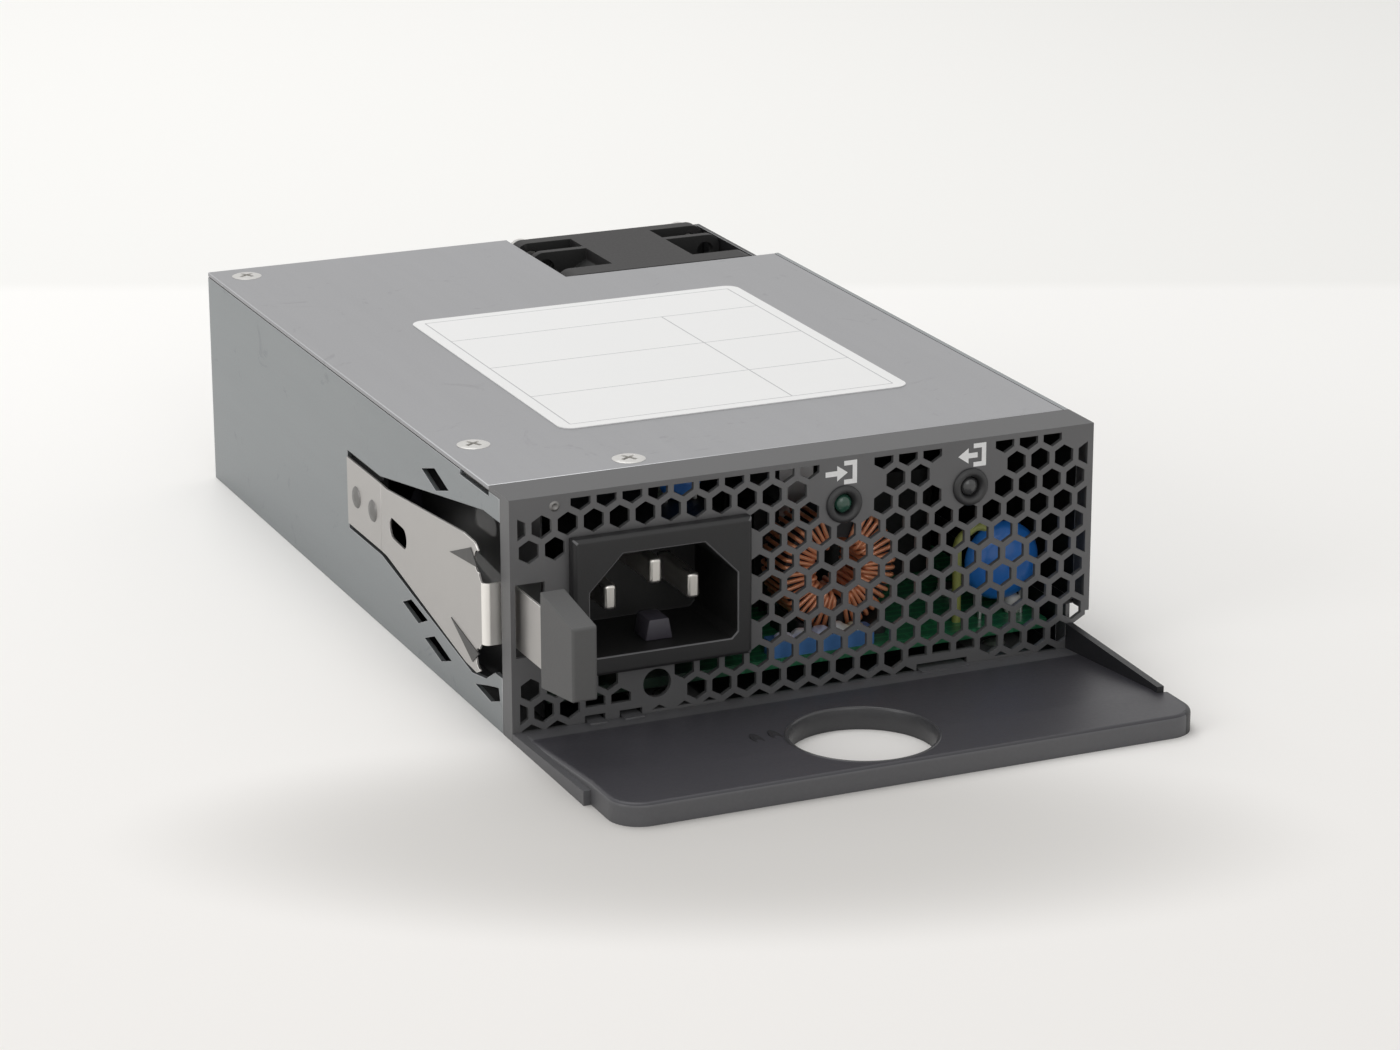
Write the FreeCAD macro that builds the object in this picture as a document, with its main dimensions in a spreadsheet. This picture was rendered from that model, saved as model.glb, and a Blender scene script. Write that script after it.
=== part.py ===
# Hot swap server power supply, as a parametric FreeCAD document.
# Millimetres, +Z up, the grille faces -Y, +X is to the right seen from the grille.
# The origin is the middle of the housing's underside.  Every body is drawn in a frame
# whose y = 0 is the outer face of the grille, and its Placement carries it back by half
# the housing's length.

import FreeCAD, Part
import math
import os
import re
import Sketcher

os.makedirs("parts", exist_ok=True)
doc = FreeCAD.newDocument("PowerSupply")
Vector = FreeCAD.Vector

# ---------------------------------------------------------------- driving sizes

sheet = doc.addObject("Spreadsheet::Sheet", "sizes")
sizes = {
    # housing
    "case_width": 100.0,
    "case_height": 38.8,
    "case_length": 148.7,
    "steel": 0.8,
    "seam": 0.1,
    "key_width": 3.0,
    "key_height": 7.3,
    "wall_start": 4.0,
    # front face and its honeycomb
    "flange_top": 8.4,
    "flange_side": 3.8,
    "relief_length": 12.5,
    "cell_pitch": 4.26,
    "cell_web": 0.95,
    "cell_row_rise": 3.706,
    "cell_start": 4.3,
    "grille_side": 1.0,
    "grille_top": 0.9,
    "grille_low": 1.3,
    "lug_web": 0.9,
    "inlet_border": 0.3,
    "corner_plain": 4.5,
    "corner_plain_left": 8.5,
    "notch_web": 2.3,
    "notch_slant": 1.3,
    # lamps
    "lamp_in_inset": 44.1,
    "lamp_out_inset": 22.0,
    "lamp_drop": 7.8,
    "holder_radius": 3.1,
    "holder_neck": 2.3,
    "holder_proud": 0.7,
    "holder_depth": 5.0,
    "lens_radius": 1.5,
    "lens_proud": 0.5,
    "pictogram_rise": 4.2,
    "pictogram_plain": 5.0,
    # cord retainer hole
    "retainer_shift": 0.4,
    "retainer_height": 6.1,
    "retainer_radius": 2.35,
    "retainer_plain": 4.6,
    # inlet
    "inlet_inset": 24.5,
    "inlet_lift": 1.15,
    "inlet_width": 29.8,
    "inlet_tall": 22.4,
    "inlet_proud": 2.2,
    "inlet_wall": 1.4,
    "inlet_depth": 18.0,
    "cavity_width": 24.6,
    "cavity_tall": 16.2,
    "cavity_depth": 16.4,
    "cavity_top": 13.6,
    "cavity_slope": 5.6,
    "pin_spread": 7.0,
    "pin_drop": 0.4,
    "earth_rise": 3.4,
    "pin_width": 2.0,
    "pin_tall": 4.0,
    "pin_setback": 2.6,
    "pin_tail": 3.0,
    "leg_thick": 0.8,
    # pull handle
    "handle_reach": 39.8,
    "handle_rear": 1.4,
    "handle_lip": 3.6,
    "handle_crease": 28.0,
    "handle_wall": 1.5,
    "handle_solid": 8.0,
    "handle_corner": 5.0,
    "handle_side": 1.1,
    "ledge_reach": 28.5,
    "ledge_front": 2.3,
    "cheek": 1.2,
    "cheek_reach": 29.7,
    "cheek_rear": 5.6,
    "cheek_front": 4.6,
    "finger_x": -3.6,
    "finger_reach": 27.0,
    "finger_radius": 11.4,
    "collar": 1.2,
    "hook_depth": 3.0,
    "hook_play": 0.3,
    "hook_tall": 0.6,
    "hook_window": 0.8,
    "hook_plain": 3.8,
    "hook_a_inset": 12.0,
    "hook_a_width": 3.4,
    "hook_b_inset": 17.8,
    "hook_b_width": 3.8,
    "hook_c_inset": 31.0,
    "hook_c_width": 9.0,
    "lug_left_inset": 28.0,
    "lug_right_inset": 14.0,
    "lug_y": 6.0,
    # latch
    "latch_drop": 0.05,
    "leaf": 0.4,
    "leaf_proud": 0.3,
    "bend_at": 57.0,
    "window_rear": 74.0,
    "window_bend": 58.0,
    "window_half": 6.8,
    "window_edge": 1.0,
    "ear_half": 10.6,
    "ear_rear": 14.0,
    "ear_front": 9.0,
    "ear_clear": 4.2,
    "notch_radius": 1.7,
    "notch_drop": 2.7,
    "tooth_front": 4.8,
    "tooth_proud": 2.5,
    "fold_radius": 1.1,
    "tooth_half": 5.0,
    "eye_front": 45.2,
    "eye_rear": 50.8,
    "eye_half": 1.7,
    "arm_inset": 1.65,
    "arm_play": 0.9,
    "latch_travel": 3.2,
    "grip_start": 9.0,
    "grip_end": 21.8,
    "grip_thick": 4.0,
    "grip_rear_half": 7.65,
    "grip_front_half": 5.75,
    "grip_skin": 0.4,
    "grip_cap": 1.8,
    "rivet_radius": 1.0,
    "rivet_head": 1.9,
    "rivet_dome": 0.5,
    "rivet_rear": 69.0,
    "rivet_front": 61.0,
    # lid
    "screw_shank": 1.25,
    "screw_head": 2.7,
    "screw_length": 5.0,
    "tab_half": 5.0,
    "tab_reach": 5.0,
    "lid_left_inset": 5.6,
        "lid_rear_inset": 5.4,
        "lid_front_y": 29.4,
    "face_screw_shift": -0.4,
    "face_screw_reach": 4.2,
    "label_x": 2.0,
    "label_lead": 12.55,
    "label_width": 61.6,
    "label_length": 70.6,
    "label_thick": 0.15,
    "label_corner": 2.5,
    # fan
    "fan_depth": 28.0,
    "fan_flange": 5.0,
    "fan_flange_rear": 3.0,
    "fan_land": 16.0,
    "fan_rib_at": 17.4,
    "fan_rib": 1.6,
    "fan_skin": 0.8,
    "fan_corner": 2.5,
    "fan_hole_inset": 6.0,
    "fan_hole": 1.6,
    "fan_base": 9.0,
    "fan_strut": 2.2,
    "spindle": 1.2,
    "rotor_bearing": 0.05,
    "hub_radius": 9.4,
    "hub_front": 2.5,
    "hub_rear": 24.2,
    "blade_gap": 1.4,
    "blade_rise_root": 15.0,
    "blade_sweep_root": 5.0,
    "blade_rise_tip": 13.0,
    "blade_sweep_tip": 8.6,
    "blade_thick": 0.9,
    "guard_rib": 1.6,
    # circuit board
    "board_base": 3.6,
    "board_thick": 1.6,
    "board_side": 1.4,
    "board_start": 4.6,
    "board_notch": 5.6,
    "board_notch_reach": 58.0,
    "board_fan_gap": 2.5,
    "edge_inset": 8.0,
    "edge_width": 38.0,
    "edge_reach": 8.0,
    "edge_play": 0.6,
    "contact_pitch": 2.0,
    "contact_width": 1.3,
    "contact_length": 6.5,
    "contact_thick": 0.1,
    "post_radius": 2.6,
    "post_shank": 1.1,
    "post_inset": 9.0,
    "post_front_y": 22.0,
    "post_rear_inset": 7.2,
    "film": 0.3,
    # choke behind the grille
    "choke_shift": 4.3,
    "choke_y": 14.5,
    "core_outer": 9.4,
    "core_inner": 5.2,
    "core_length": 7.5,
    "wire": 1.0,
    "cradle": 0.8,
    # small parts behind the grille
    "varistor_inset": 11.4,
    "varistor_y": 9.0,
    "varistor_radius": 6.6,
    "varistor_thick": 4.0,
    "varistor_rise": 2.8,
    "lead": 0.8,
    "lead_spread": 3.0,
    "ycap_shift": 10.1,
    "ycap_y": 9.0,
    "ycap_play": 0.35,
    "ycap_thick": 3.2,
    "film_cap_shift": 5.2,
    "film_cap_y": 6.6,
    "film_cap_width": 18.0,
    "film_cap_depth": 3.6,
    "film_cap_tall": 2.6,
    # power stage
    "bulk_inset": 17.0,
    "bulk_gap": 1.0,
    "bulk_y": 62.0,
    "bulk_radius": 11.0,
    "bulk_length": 40.0,
    "ferrite_shift": 12.0,
    "ferrite_step": 4.0,
    "ferrite_gap": 10.0,
    "ferrite_width": 16.0,
    "ferrite_length": 30.0,
    "ferrite_tall": 26.0,
    "sink_y": 24.0,
    "sink_length": 36.0,
    "sink_tall": 28.0,
    "sink_fin": 4.0,
    "sink_plate": 2.0,
    "fin_thick": 1.2,
    "second_sink_gap": 9.2,
    "package_thick": 4.4,
    "package_width": 10.0,
    "package_tall": 15.0,
    "package_pitch": 11.5,
    "package_lift": 4.0,
    "package_leg": 0.7,
    "package_leg_pitch": 2.5,
    "boost_inset": 6.2,
    "boost_tall": 18.0,
    # places and sizes that follow from those above
    "inlet_x": "=inlet_inset - case_width / 2",
    "inlet_height": "=case_height / 2 + inlet_lift",
    "retainer_x": "=inlet_x - retainer_shift",
    "lamp_in_x": "=case_width / 2 - lamp_in_inset",
    "lamp_out_x": "=case_width / 2 - lamp_out_inset",
    "lamp_height": "=case_height - lamp_drop",
    "latch_height": "=case_height / 2 - latch_drop",
    "hook_a_near": "=hook_a_inset - case_width / 2",
    "hook_a_far": "=hook_a_near + hook_a_width",
    "hook_b_near": "=hook_b_inset - case_width / 2",
    "hook_b_far": "=hook_b_near + hook_b_width",
    "hook_c_near": "=case_width / 2 - hook_c_inset",
    "hook_c_far": "=hook_c_near + hook_c_width",
    "lug_left_x": "=lug_left_inset - case_width / 2",
    "lug_right_x": "=case_width / 2 - lug_right_inset",
    "fan_side": "=case_height - steel",
    "fan_bore": "=fan_side / 2 - fan_skin",
    "fan_hole_pitch": "=fan_side - fan_hole_inset",
    "fan_y": "=case_length - steel - 2 * seam - fan_depth",
    "blade_tip": "=fan_bore - blade_gap",
    "lid_left_x": "=lid_left_inset - case_width / 2",
    "lid_rear_y": "=case_length - lid_rear_inset",
    "face_screw_x": "=inlet_x - face_screw_shift",
    "face_screw_y": "=flange_top + face_screw_reach",
    "label_y": "=(flange_top + case_length) / 2 - label_lead",
    "edge_left": "=edge_inset - case_width / 2",
    "edge_right": "=edge_left + edge_width",
    "post_left_x": "=post_inset + steel + board_side - case_width / 2",
    "post_right_x": "=case_width / 2 - key_width - steel - board_side - post_inset",
    "post_rear_y": "=fan_y - board_fan_gap - post_rear_inset",
    "choke_x": "=lamp_in_x + choke_shift",
    "varistor_x": "=case_width / 2 - varistor_inset",
    "ycap_x": "=inlet_x + ycap_shift",
    "ycap_room": "=case_height - steel - inlet_height - cavity_tall / 2 - inlet_wall - seam",
    "ycap_radius": "=ycap_room / 2 - ycap_play",
    "film_cap_x": "=choke_x - film_cap_shift",
    "bulk_x": "=bulk_inset - case_width / 2",
    "post_mid_x": "=bulk_x + 3 * bulk_radius - bulk_gap",
    "sink_x": "=bulk_x + 3 * bulk_radius + 6 * bulk_gap",
    "ferrite_x": "=sink_x + ferrite_shift",
    "ferrite_y": "=bulk_y + ferrite_step",
    "boost_side": "=case_width / 2 - key_width - steel - boost_inset - ferrite_x",
    "boost_y": "=ferrite_y - ferrite_gap - boost_side",
}
for row, (name, value) in enumerate(sizes.items(), start=1):
    sheet.set(f"A{row}", name)
    sheet.set(f"B{row}", str(value))
    sheet.setAlias(f"B{row}", name)
doc.recompute()


def expr(text):
    """Point each size's name in an expression at the spreadsheet."""
    return re.sub(r"[A-Za-z_]\w*", lambda m: "sizes." + m[0] if m[0] in sizes else m[0], str(text))


# ---------------------------------------------------------------- sketch and feature helpers

roles = {"plan": "XY_Plane", "front": "XZ_Plane", "side": "YZ_Plane"}
nodes = []


def new_body(name, y="-case_length / 2", x="0", z="0"):
    """A body drawn from the grille's face, set back by half the housing's length."""
    body = doc.addObject("PartDesign::Body", name)
    body.Label = name
    body.setExpression("Placement.Base.x", expr(x))
    body.setExpression("Placement.Base.y", expr(y))
    body.setExpression("Placement.Base.z", expr(z))
    nodes.append(body)
    return body


def new_sketch(body, view, at="0"):
    """A sketch on one of the body's own planes, moved along +Z, +Y or +X by `at`."""
    sketch = body.newObject("Sketcher::SketchObject", f"{body.Name}_{view}")
    plane = [f for f in body.Origin.OriginFeatures if f.Role == roles[view]][0]
    sketch.AttachmentSupport = [(plane, "")]
    sketch.MapMode = "FlatFace"
    sign = "-1 * " if view == "front" else ""
    sketch.setExpression("AttachmentOffset.Base.z", expr(f"{sign}({at})"))
    return sketch


def pin_point(sketch, edge, corner, across, along):
    for kind, text in (("DistanceX", across), ("DistanceY", along)):
        index = sketch.addConstraint(Sketcher.Constraint(kind, -1, 1, edge, corner, 1.0))
        sketch.setExpression(f"Constraints[{index}]", expr(text))


def polygon(sketch, corners):
    """A closed outline whose corners follow pairs of expressions."""
    first = sketch.GeometryCount
    count = len(corners)
    ring = [Vector(math.cos(2 * math.pi * i / count), math.sin(2 * math.pi * i / count),
                   0) for i in range(count)]
    for i in range(count):
        sketch.addGeometry(Part.LineSegment(ring[i], ring[(i + 1) % count]))
    for i in range(count):
        sketch.addConstraint(Sketcher.Constraint("Coincident", first + i, 2, first + (i + 1) % count, 1))
    for i, (across, along) in enumerate(corners):
        pin_point(sketch, first + i, 1, across, along)
    return sketch


def rectangle(sketch, left, low, right, high):
    return polygon(sketch, [(left, low), (right, low), (right, high), (left, high)])


def circle(sketch, across, along, radius):
    edge = sketch.addGeometry(Part.Circle(Vector(0, 0, 0), Vector(0, 0, 1), 1.0))
    pin_point(sketch, edge, 3, across, along)
    index = sketch.addConstraint(Sketcher.Constraint("Radius", edge, 1.0))
    sketch.setExpression(f"Constraints[{index}]", expr(radius))
    return sketch


def grow(body, sketch, length):
    """Pad towards +Z, +Y or +X, whichever the sketch's view faces."""
    pad = body.newObject("PartDesign::Pad", "Pad")
    pad.Profile = sketch
    pad.Reversed = sketch.Name.split("_")[-1].startswith("front")
    pad.setExpression("Length", expr(length))
    return pad


def cut(body, sketch, length=None):
    """Pocket towards +Z, +Y or +X, or through all when no length is given."""
    pocket = body.newObject("PartDesign::Pocket", "Pocket")
    pocket.Profile = sketch
    if length is None:
        pocket.Type = "ThroughAll"
        pocket.Midplane = True
    else:
        pocket.Reversed = not sketch.Name.split("_")[-1].startswith("front")
        pocket.setExpression("Length", expr(length))
    return pocket


def polar(body, features, count, angle=360.0):
    """Repeat features about the body's own Y axis."""
    pattern = body.newObject("PartDesign::PolarPattern", "PolarPattern")
    pattern.Originals = features
    axis = [f for f in body.Origin.OriginFeatures if f.Role == "Y_Axis"][0]
    pattern.Axis = (axis, [""])
    pattern.Angle = angle
    pattern.Occurrences = count
    body.Tip = pattern
    return pattern


def revolve(body, corners):
    """A turned piece about the body's own Y axis: corners are (radius, y) pairs."""
    sketch = polygon(new_sketch(body, "plan"), corners)
    turned = body.newObject("PartDesign::Revolution", "Revolution")
    turned.Profile = sketch
    turned.ReferenceAxis = (sketch, ["V_Axis"])
    turned.Angle = 360.0
    return turned


def soften(body, radius, chosen):
    """Round the edges of the body's tip that `chosen` picks."""
    doc.recompute()
    tip = body.Tip
    names = [f"Edge{i}" for i, edge in enumerate(tip.Shape.Edges, start=1) if chosen(edge)]
    fillet = body.newObject("PartDesign::Fillet", "Fillet")
    fillet.Base = (tip, names)
    fillet.setExpression("Radius", expr(radius))
    return fillet


def solid_node(name, shape, y="-case_length / 2", x="0", z="0"):
    """A piece set directly from Part's own functions, placed like the bodies."""
    piece = doc.addObject("Part::Feature", name)
    piece.Label = name
    piece.Shape = shape
    piece.setExpression("Placement.Base.x", expr(x))
    piece.setExpression("Placement.Base.y", expr(y))
    piece.setExpression("Placement.Base.z", expr(z))
    nodes.append(piece)
    return piece


def size(name):
    """A driving size, read back from the sheet."""
    return float(sheet.get(name))


left = "-case_width / 2"
right = "case_width / 2"

# ---------------------------------------------------------------- housing tray

tray = new_body("chassis_base")
key_x = f"{right} - key_width"
wall_top = "case_height - steel - seam"
section = [
    (left, wall_top), (left, "0"), (key_x, "0"), (key_x, "key_height"), (right, "key_height"),
    (right, "case_height"), (f"{right} - steel", "case_height"), (f"{right} - steel", "key_height + steel"),
    (f"{key_x} - steel", "key_height + steel"), (f"{key_x} - steel", "steel"), (f"{left} + steel", "steel"),
    (f"{left} + steel", wall_top),
]
grow(tray, polygon(new_sketch(tray, "front", "wall_start"), section), "case_length - wall_start")
floor_front = rectangle(new_sketch(tray, "front", "steel + seam"), f"{left} + steel + seam", "0", key_x,
                        "steel")
grow(tray, floor_front, "wall_start - steel - seam")
cut(tray, rectangle(new_sketch(tray, "front", "wall_start - 1"), f"{right} - 2 * steel", wall_top,
                    f"{right} + 1", "case_height + 1"), "flange_top + seam - wall_start + 1")
rear = polygon(new_sketch(tray, "front", "case_length - steel"), [
    (left, "0"), (key_x, "0"), (key_x, "key_height"), (right, "key_height"),
    (right, wall_top), (left, wall_top)])
grow(tray, rear, "steel")

# beside the fan the housing is only as wide as its keyed floor
step_y = "(fan_y - 3 * seam)"
cut(tray, rectangle(new_sketch(tray, "plan", "-1"), key_x, step_y, f"{right} + 1", "case_length + 1"),
    "case_height + 2")
fan_wall = rectangle(new_sketch(tray, "front", f"{step_y} - steel"), f"{key_x} - steel", "steel", key_x,
                     wall_top)
grow(tray, fan_wall, f"case_length - {step_y} + steel")
returned = rectangle(new_sketch(tray, "front", f"{step_y} - steel"), f"{key_x} - steel", "key_height",
                     f"{right} - steel / 2", wall_top)
grow(tray, returned, "steel")

# lid tabs, folded in from the left wall just under the lid
tab_low = "case_height - 2 * steel - seam"
lid_screws = [("lid_left_x", "lid_rear_y"), ("lid_left_x", "lid_front_y")]
for across, along in lid_screws:
    tab = rectangle(new_sketch(tray, "plan", tab_low), left, f"{along} - tab_half",
                    f"{across} + tab_reach", f"{along} + tab_half")
    circle(tab, across, along, "screw_shank + seam")
    grow(tray, tab, "steel")

# relief between the left wall and the lid's front corner
cut(tray, rectangle(new_sketch(tray, "side", f"{left} - 1"), "flange_top", f"{wall_top} - steel",
                    "flange_top + relief_length", f"{wall_top} + 1"), "2 * steel + 1")

# latch window: narrow where the leaf is riveted, flaring to the front
window_front_half = "(ear_half + ear_clear)"
corner_drop = f"latch_height - {window_front_half}"
cut(tray, polygon(new_sketch(tray, "side", f"{left} - 1"), [
    ("window_rear", "latch_height - window_half"), ("window_rear", "latch_height + window_half"),
    ("window_bend", "latch_height + window_half"), ("ear_front + 2", f"latch_height + {window_front_half}"),
    ("wall_start - 1", f"latch_height + {window_front_half}"), ("wall_start - 1",
                                                                "latch_height - ear_half + 0.3"),
    ("ear_front - 2", "latch_height - ear_half + 0.3"), ("ear_front + 2", f"{corner_drop} + 2.2"),
    ("ear_front + 8", f"{corner_drop} + 1.2"), ("window_bend", "latch_height - window_half")]), "steel + 2")

# four slanted slots round the window
slots = [
    [(38.2, 13.75), (32.2, 15.45), (25.9, 13.55), (31.7, 11.85)],
    [(48.5, -11.85), (44.4, -10.15), (36.7, -11.35), (41.2, -13.25)],
    [(38.5, -14.85), (33.8, -13.05), (26.1, -14.75), (30.8, -16.35)],
    [(15.8, -15.05), (10.5, -13.55), (5.6, -12.35), (5.0, -14.35), (9.0, -15.75)],
]
for slot in slots:
    corners = [(along, f"latch_height + {rise}") for along, rise in slot]
    cut(tray, polygon(new_sketch(tray, "side", f"{left} - 1"), corners), "steel + 2")

# rear wall: fan outlet with its screw holes, and the gap for the card edge
fan_x = f"({key_x} - steel - seam - fan_side / 2)"
fan_z = "(steel + fan_side / 2)"
outlet = circle(new_sketch(tray, "front", "case_length - steel - 1"), fan_x, fan_z, "fan_bore")
fan_corners = [(f"{fan_x} {a} fan_hole_pitch / 2",
                f"{fan_z} {b} fan_hole_pitch / 2") for a in "+-" for b in "+-"]
for across, along in fan_corners:
    circle(outlet, across, along, "fan_hole")
cut(tray, outlet, "steel + 2")
cut(tray, rectangle(new_sketch(tray, "front", "case_length - steel - 1"),
                    "edge_left - edge_play", "board_base - edge_play",
                    "edge_right + edge_play", "board_base + board_thick + edge_play"), "steel + 2")

# floor rivet holes shared with the face's lower lugs
lug_rivets = [("lug_left_x", "lug_y"), ("lug_right_x", "lug_y")]
rivet_holes = new_sketch(tray, "plan", "-1")
for across, along in lug_rivets:
    circle(rivet_holes, across, along, "rivet_radius + seam / 2")
cut(tray, rivet_holes, "steel + 2")

# ---------------------------------------------------------------- lid and its screws

lid = new_body("top_cover")
fan_front = "fan_y"
lid_right = f"{right} - steel - seam"
lid_low = "case_height - steel"
lid_plan = polygon(new_sketch(lid, "plan", lid_low), [
    (left, "flange_top + seam"), (lid_right, "flange_top + seam"), (lid_right, f"{fan_front} - 4 * seam"),
    (f"{fan_x} - fan_side / 2 - 2 * seam", f"{fan_front} - 4 * seam"),
    (f"{fan_x} - fan_side / 2 - 2 * seam", "case_length"), (left, "case_length")])
grow(lid, lid_plan, "steel")
face_screw = ("face_screw_x", "face_screw_y")
all_screws = lid_screws + [face_screw]
for across, along in all_screws:
    seat = circle(new_sketch(lid, "plan", lid_low), across, along, "screw_shank + seam / 2")
    sink = cut(lid, seat, "steel")
    sink.setExpression("TaperAngle", expr("atan((screw_head - screw_shank) / steel)"))


def screw_shape(head_radius, head_height, shank_radius, length):
    """A countersunk screw, its flat head up at z = 0."""
    head = Part.makeCone(shank_radius, head_radius, head_height, Vector(0, 0, -head_height))
    shank = Part.makeCylinder(shank_radius, length - head_height, Vector(0, 0, -length))
    return head.fuse(shank)


screw_set = []
for across, along in all_screws:
    screw = screw_shape(size("screw_head"), size("steel"), size("screw_shank"), size("screw_length"))
    screw.translate(Vector(size(across), size(along), 0))
    screw_set.append(screw)
solid_node("cover_screws", Part.makeCompound(screw_set), z="case_height")

# ---------------------------------------------------------------- front face

face = new_body("front_bezel")
grow(face, rectangle(new_sketch(face, "front"), left, "0", right, "case_height"), "steel")
grow(face, rectangle(new_sketch(face, "front"), left, "case_height - steel", right, "case_height"),
     "flange_top")
for near, far in ((left, f"{left} + steel"), (f"{right} - steel", right)):
    grow(face, rectangle(new_sketch(face, "front"), near, "key_height", far, "case_height"), "flange_side")
# the left fold also runs down beside the latch, and a joggled lip reaches under the lid
grow(face, rectangle(new_sketch(face, "front"), left, "0", f"{left} + steel", "key_height"), "flange_side")
# and the key's own side is folded back to meet the tray's inner wall
grow(face, rectangle(new_sketch(face, "front"), f"{key_x} - steel", "steel + seam", key_x,
                     "key_height - notch_slant - 0.7"), "flange_side")
lip_left = f"{face_screw[0]} - tab_half"
lip_right = f"{face_screw[0]} + tab_half"
lip = rectangle(new_sketch(face, "plan", tab_low), lip_left, "flange_top - 2 * steel",
                lip_right, f"{face_screw[1]} + tab_half")
circle(lip, face_screw[0], face_screw[1], "screw_shank + seam")
grow(face, lip, "steel + seam")
for across, along in lug_rivets:
    lug = rectangle(new_sketch(face, "plan", "steel + seam"), f"{across} - tab_half", "0",
                    f"{across} + tab_half", f"{along} + tab_half - 1")
    circle(lug, across, along, "rivet_radius + seam / 2")
    grow(face, lug, "steel")

# keyed lower corner, latch slot, inlet opening, lamp holes, retainer hole, hook slots
openings = new_sketch(face, "front", "-1")
polygon(openings, [
    (key_x, "-1"), (key_x, "key_height - notch_slant - 0.7"), (f"{key_x} + notch_web", "key_height - 0.7"),
    (f"{key_x} + notch_web", "key_height"), (f"{right} + 1", "key_height"), (f"{right} + 1", "-1")])
arm_in = f"({left} + arm_inset)"
arm_sweep = "(bend_at * sin(latch_travel))"
slot_right = f"{arm_in} + leaf + {arm_sweep} + 4 * seam"
rectangle(openings, f"{left} + steel", "latch_height - tooth_half - arm_play",
          slot_right, "latch_height + tooth_half + arm_play")
inlet_hole_x = "(cavity_width / 2 + inlet_wall + seam)"
inlet_hole_z = "(cavity_tall / 2 + inlet_wall + seam)"
rectangle(openings, f"inlet_x - {inlet_hole_x}", f"inlet_height - {inlet_hole_z}",
          f"inlet_x + {inlet_hole_x}", f"inlet_height + {inlet_hole_z}")
for lamp in ("lamp_in_x", "lamp_out_x"):
    circle(openings, lamp, "lamp_height", "holder_neck + seam / 2")
circle(openings, "retainer_x", "retainer_height", "retainer_radius")
hook_slots = [(f"hook_{name}_near", f"hook_{name}_far") for name in "abc"]
hook_low = "(steel + 3 * seam)"
for near, far in hook_slots:
    rectangle(openings, near, f"{hook_low} - 2 * seam", far, f"{hook_low} + hook_tall + hook_window")
cut(face, openings, "steel + 2")


def clip(points, axis, limit, keep_above):
    """Cut a convex outline with one upright or level line."""
    kept = []
    for start, end in zip(points, points[1:] + points[:1]):
        start_in = (start[axis] >= limit) == keep_above
        end_in = (end[axis] >= limit) == keep_above
        if start_in:
            kept.append(start)
        if start_in != end_in:
            share = (limit - start[axis]) / (end[axis] - start[axis])
            kept.append(tuple(a + share * (b - a) for a, b in zip(start, end)))
    return kept


def over_hook(x, reach):
    return any(size(near) - reach < x < size(far) + reach for near, far in hook_slots)


def over_lug(x):
    return any(abs(x - size(across)) < size("tab_half") for across, along in lug_rivets)


def cell_is_plain(x, z, reach):
    """True where the face stays solid: round the inlet, lamps, latch, retainer hole and corners."""
    beside_inlet = abs(x - size("inlet_x")) < size("inlet_width") / 2 + size("inlet_border") + reach * 0.87
    level_inlet = abs(z - size("inlet_height")) < size("inlet_tall") / 2 + size("inlet_border") + reach * 0.4
    if beside_inlet and level_inlet:
        return True
    for lamp in ("lamp_in_x", "lamp_out_x"):
        across = x - size(lamp)
        rise = z - size("lamp_height")
        if math.hypot(across, rise) < size("holder_radius") + 0.2:
            return True
        if math.hypot(across, rise - size("pictogram_rise")) < size("pictogram_plain"):
            return True
    latch_room = size("tooth_half") + size("arm_play") + reach + 0.3
    if x < size("inlet_x") - size("inlet_width") / 2 and abs(z - size("latch_height")) < latch_room:
        return True
    if math.hypot(x - size("retainer_x"), z - size("retainer_height")) < size("retainer_plain"):
        return True
    if z > size("case_height") - reach:
        return x < size("corner_plain_left") - half_width or x > half_width - size("corner_plain")
    return z < reach and over_hook(x, reach)


def cell_floor(x, z, reach):
    """The lowest level to which a cell is cut."""
    if over_hook(x, reach):
        return size("hook_plain")
    if z < reach and over_lug(x):
        return size("steel") + size("seam") + size("lug_web")
    return size("grille_low")


pitch = size("cell_pitch")
cell_reach = (pitch - size("cell_web")) / math.sqrt(3)
half_width = size("case_width") / 2
limits = [(0, -half_width + size("steel") + 0.5, True), (0, half_width - size("grille_side"), False),
          (1, size("case_height") - size("grille_top"), False)]
honeycomb = new_sketch(face, "front", "-1")
for row in range(-1, int(size("case_height") / size("cell_row_rise"))):
    z = size("cell_start") + row * size("cell_row_rise")
    shift = pitch / 2 if row % 2 == 0 else 0.0
    columns = int(half_width / pitch) + 1
    for column in range(-columns, columns + 1):
        x = column * pitch + shift
        beyond_notch = z < size("key_height") and x > half_width - size("key_width") - cell_reach
        if beyond_notch or cell_is_plain(x, z, cell_reach):
            continue
        cell = [(x + cell_reach * math.sin(k * math.pi / 3), z + cell_reach * math.cos(k * math.pi / 3))
                for k in range(6)]
        for axis, limit, keep_above in limits + [(1, cell_floor(x, z, cell_reach), True)]:
            cell = clip(cell, axis, limit, keep_above) if cell else cell
        if len(cell) < 3:
            continue
        for start, end in zip(cell, cell[1:] + cell[:1]):
            honeycomb.addGeometry(Part.LineSegment(Vector(*start, 0), Vector(*end, 0)))
cut(face, honeycomb, "steel + 1.05")

# flush rivets through the tray's floor and the face's lower lugs
rivet_set = []
for across, along in lug_rivets:
    stem = Part.makeCylinder(size("rivet_radius"), 2 * size("steel") + size("seam"))
    crown = Part.makeCone(size("rivet_head"), size("rivet_radius"), size("rivet_dome"))
    crown.translate(Vector(0, 0, 2 * size("steel") + size("seam")))
    rivet = stem.fuse(crown)
    rivet.translate(Vector(size(across), size(along), size("seam")))
    rivet_set.append(rivet)
solid_node("bezel_rivets", Part.makeCompound(rivet_set))

# ---------------------------------------------------------------- inlet

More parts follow.
